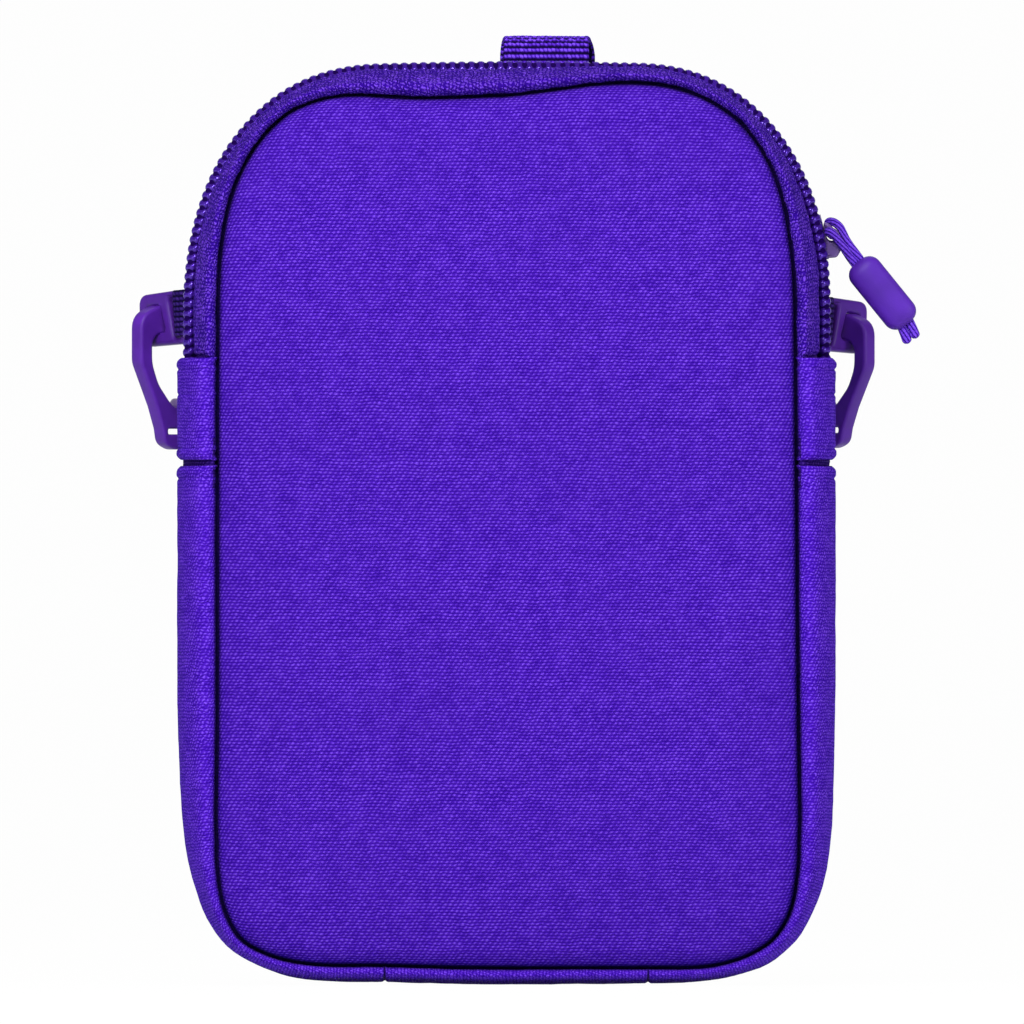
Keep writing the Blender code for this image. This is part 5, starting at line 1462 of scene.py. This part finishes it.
def make_grip():
    """Moulded grip: a rounded bar with a soft ridge along its face."""
    tilt = math.radians(GRIP_TILT_DEG)
    direction = Vector((math.cos(tilt), 0.0, -math.sin(tilt)))
    across = Vector((math.sin(tilt), 0.0, math.cos(tilt)))
    centre = photo_point(GRIP_CENTRE_PX)
    half = GRIP_LENGTH / 2
    straight = half - GRIP_END_ROUND
    ends = [(-half + GRIP_END_ROUND * (1 - math.cos(turn)), GRIP_END_ROUND * (1 - math.sin(turn)))
            for turn in np.linspace(0.0, math.pi / 2, 9)]
    stations = ends + [(along, 0.0) for along in np.linspace(-straight, straight, 9)[1:-1]]
    stations += [(-along, shrink) for along, shrink in reversed(ends)]
    rings = []
    for along, shrink in stations:
        wide = GRIP_WIDTH / 2 - shrink
        deep = GRIP_THICKNESS / 2 - shrink * GRIP_DEEP_SHRINK
        ring = []
        for turn in full_turn(48):
            cosine, sine = math.cos(turn), math.sin(turn)
            size = (abs(cosine) ** GRIP_POWER + abs(sine) ** GRIP_POWER) ** (-1 / GRIP_POWER)
            ridge = GRIP_RIDGE * abs(sine) ** 14 * min(1.0, (half - abs(along)) / GRIP_RIDGE_END)
            ring.append(centre + direction * along + across * (wide * cosine * size)
                        + Vector((0.0, (deep + ridge) * sine * size, 0.0)))
        rings.append(ring)
    attach(loft("grip_body", rings, "grip"), "puller", "puller_grip")


# Floor, light and camera

def show_mixed(tree, share, first, second, output):
    """Show two shaders mixed by a share."""
    blend = add_node(tree, "MixShader", {0: share, 1: first.outputs[0], 2: second.outputs[0]})
    tree.links.new(blend.outputs[0], tree.nodes[output].inputs["Surface"])


def camera_white(name, share):
    """A matt white that the camera sees as white, mixed with its lit face so shadows stay."""
    finish = Finish(name, 0.9, base_color=(0.86, 0.86, 0.86, 1.0))
    ray = finish.add("LightPath")
    seen = Field(ray, "Is Camera Ray")
    for other in ("Is Glossy Ray", "Is Transmission Ray"):
        seen = seen.math("MAXIMUM", Field(ray, other))
    show_mixed(finish.tree, (seen * share).socket, finish.tree.nodes["Principled BSDF"],
               finish.add("Emission"), "Material Output")
    return finish.material


def make_stage():
    """A pale floor that sweeps up into a backdrop behind the pouch."""
    line = curve_through(STAGE_LINE, 80)
    line[:, 1] = np.maximum(line[:, 1], 0.0)
    line[line[:, 0] < STAGE_BEND, 1] = 0.0
    build = bmesh.new()
    rows = [[build.verts.new((x, y, z - STAGE_GAP)) for x in (-STAGE_HALF, STAGE_HALF)]
            for y, z in line]
    for low, high in zip(rows, rows[1:]):
        build.faces.new((low[0], low[1], high[1], high[0]))
    new_object("floor", build, camera_white("floor_white", STAGE_WHITE))


def area_light(name, place, size, power):
    """A soft light that faces the middle of the pouch."""
    light = bpy.data.lights.new(name, "AREA")
    light.shape = "RECTANGLE"
    light.size, light.size_y = size
    light.energy = power
    obj = bpy.data.objects.new(name, light)
    obj.location = place
    towards = Vector(MIDDLE) - Vector(place)
    obj.rotation_euler = towards.to_track_quat("-Z", "Y").to_euler()
    obj.visible_camera = False
    bpy.context.scene.collection.objects.link(obj)


def make_light():
    """A dim world that the camera sees as white, and soft lights round the pouch."""
    world = bpy.data.worlds.new("studio")
    world.use_nodes = True
    bpy.context.scene.world = world
    tree = world.node_tree
    dim, bright = tree.nodes["Background"], add_node(tree, "Background")
    for background, strength in ((dim, WORLD_STRENGTH), (bright, 1.0)):
        background.inputs["Color"].default_value = (1.0, 1.0, 1.0, 1.0)
        background.inputs["Strength"].default_value = strength
    show_mixed(tree, add_node(tree, "LightPath").outputs["Is Camera Ray"], dim, bright,
               "World Output")
    for name, place, size, power in LIGHTS:
        area_light(name, place, size, power)


def make_camera():
    """Square to the front panel, with the photo's framing."""
    camera = bpy.data.objects.new("camera", bpy.data.cameras.new("camera"))
    camera.data.sensor_width = SENSOR_MM
    camera.data.lens = SENSOR_MM * CAMERA_DISTANCE / (PIXELS * METRES_PER_PX)
    camera.location = ((PIXELS / 2 - PHOTO_MIDDLE_PX) * METRES_PER_PX, -CAMERA_DISTANCE,
                       (PHOTO_BASE_PX - PIXELS / 2) * METRES_PER_PX)
    camera.rotation_euler = (math.pi / 2, 0.0, 0.0)
    bpy.context.scene.collection.objects.link(camera)
    bpy.context.scene.camera = camera
    bpy.context.scene.view_settings.view_transform = "Standard"


make_light()
make_camera()
make_stage()
make_panels()
make_sides()
make_zip()
make_inside()
make_top_loop()
for side_name, side in SIDES[::-1]:
    ring = ring_place(side_name, side)
    make_ring(side_name, ring)
    make_webbing_tab(side_name, side)
    make_clip(side_name, side, ring)
make_slider()
make_cord()
make_grip()
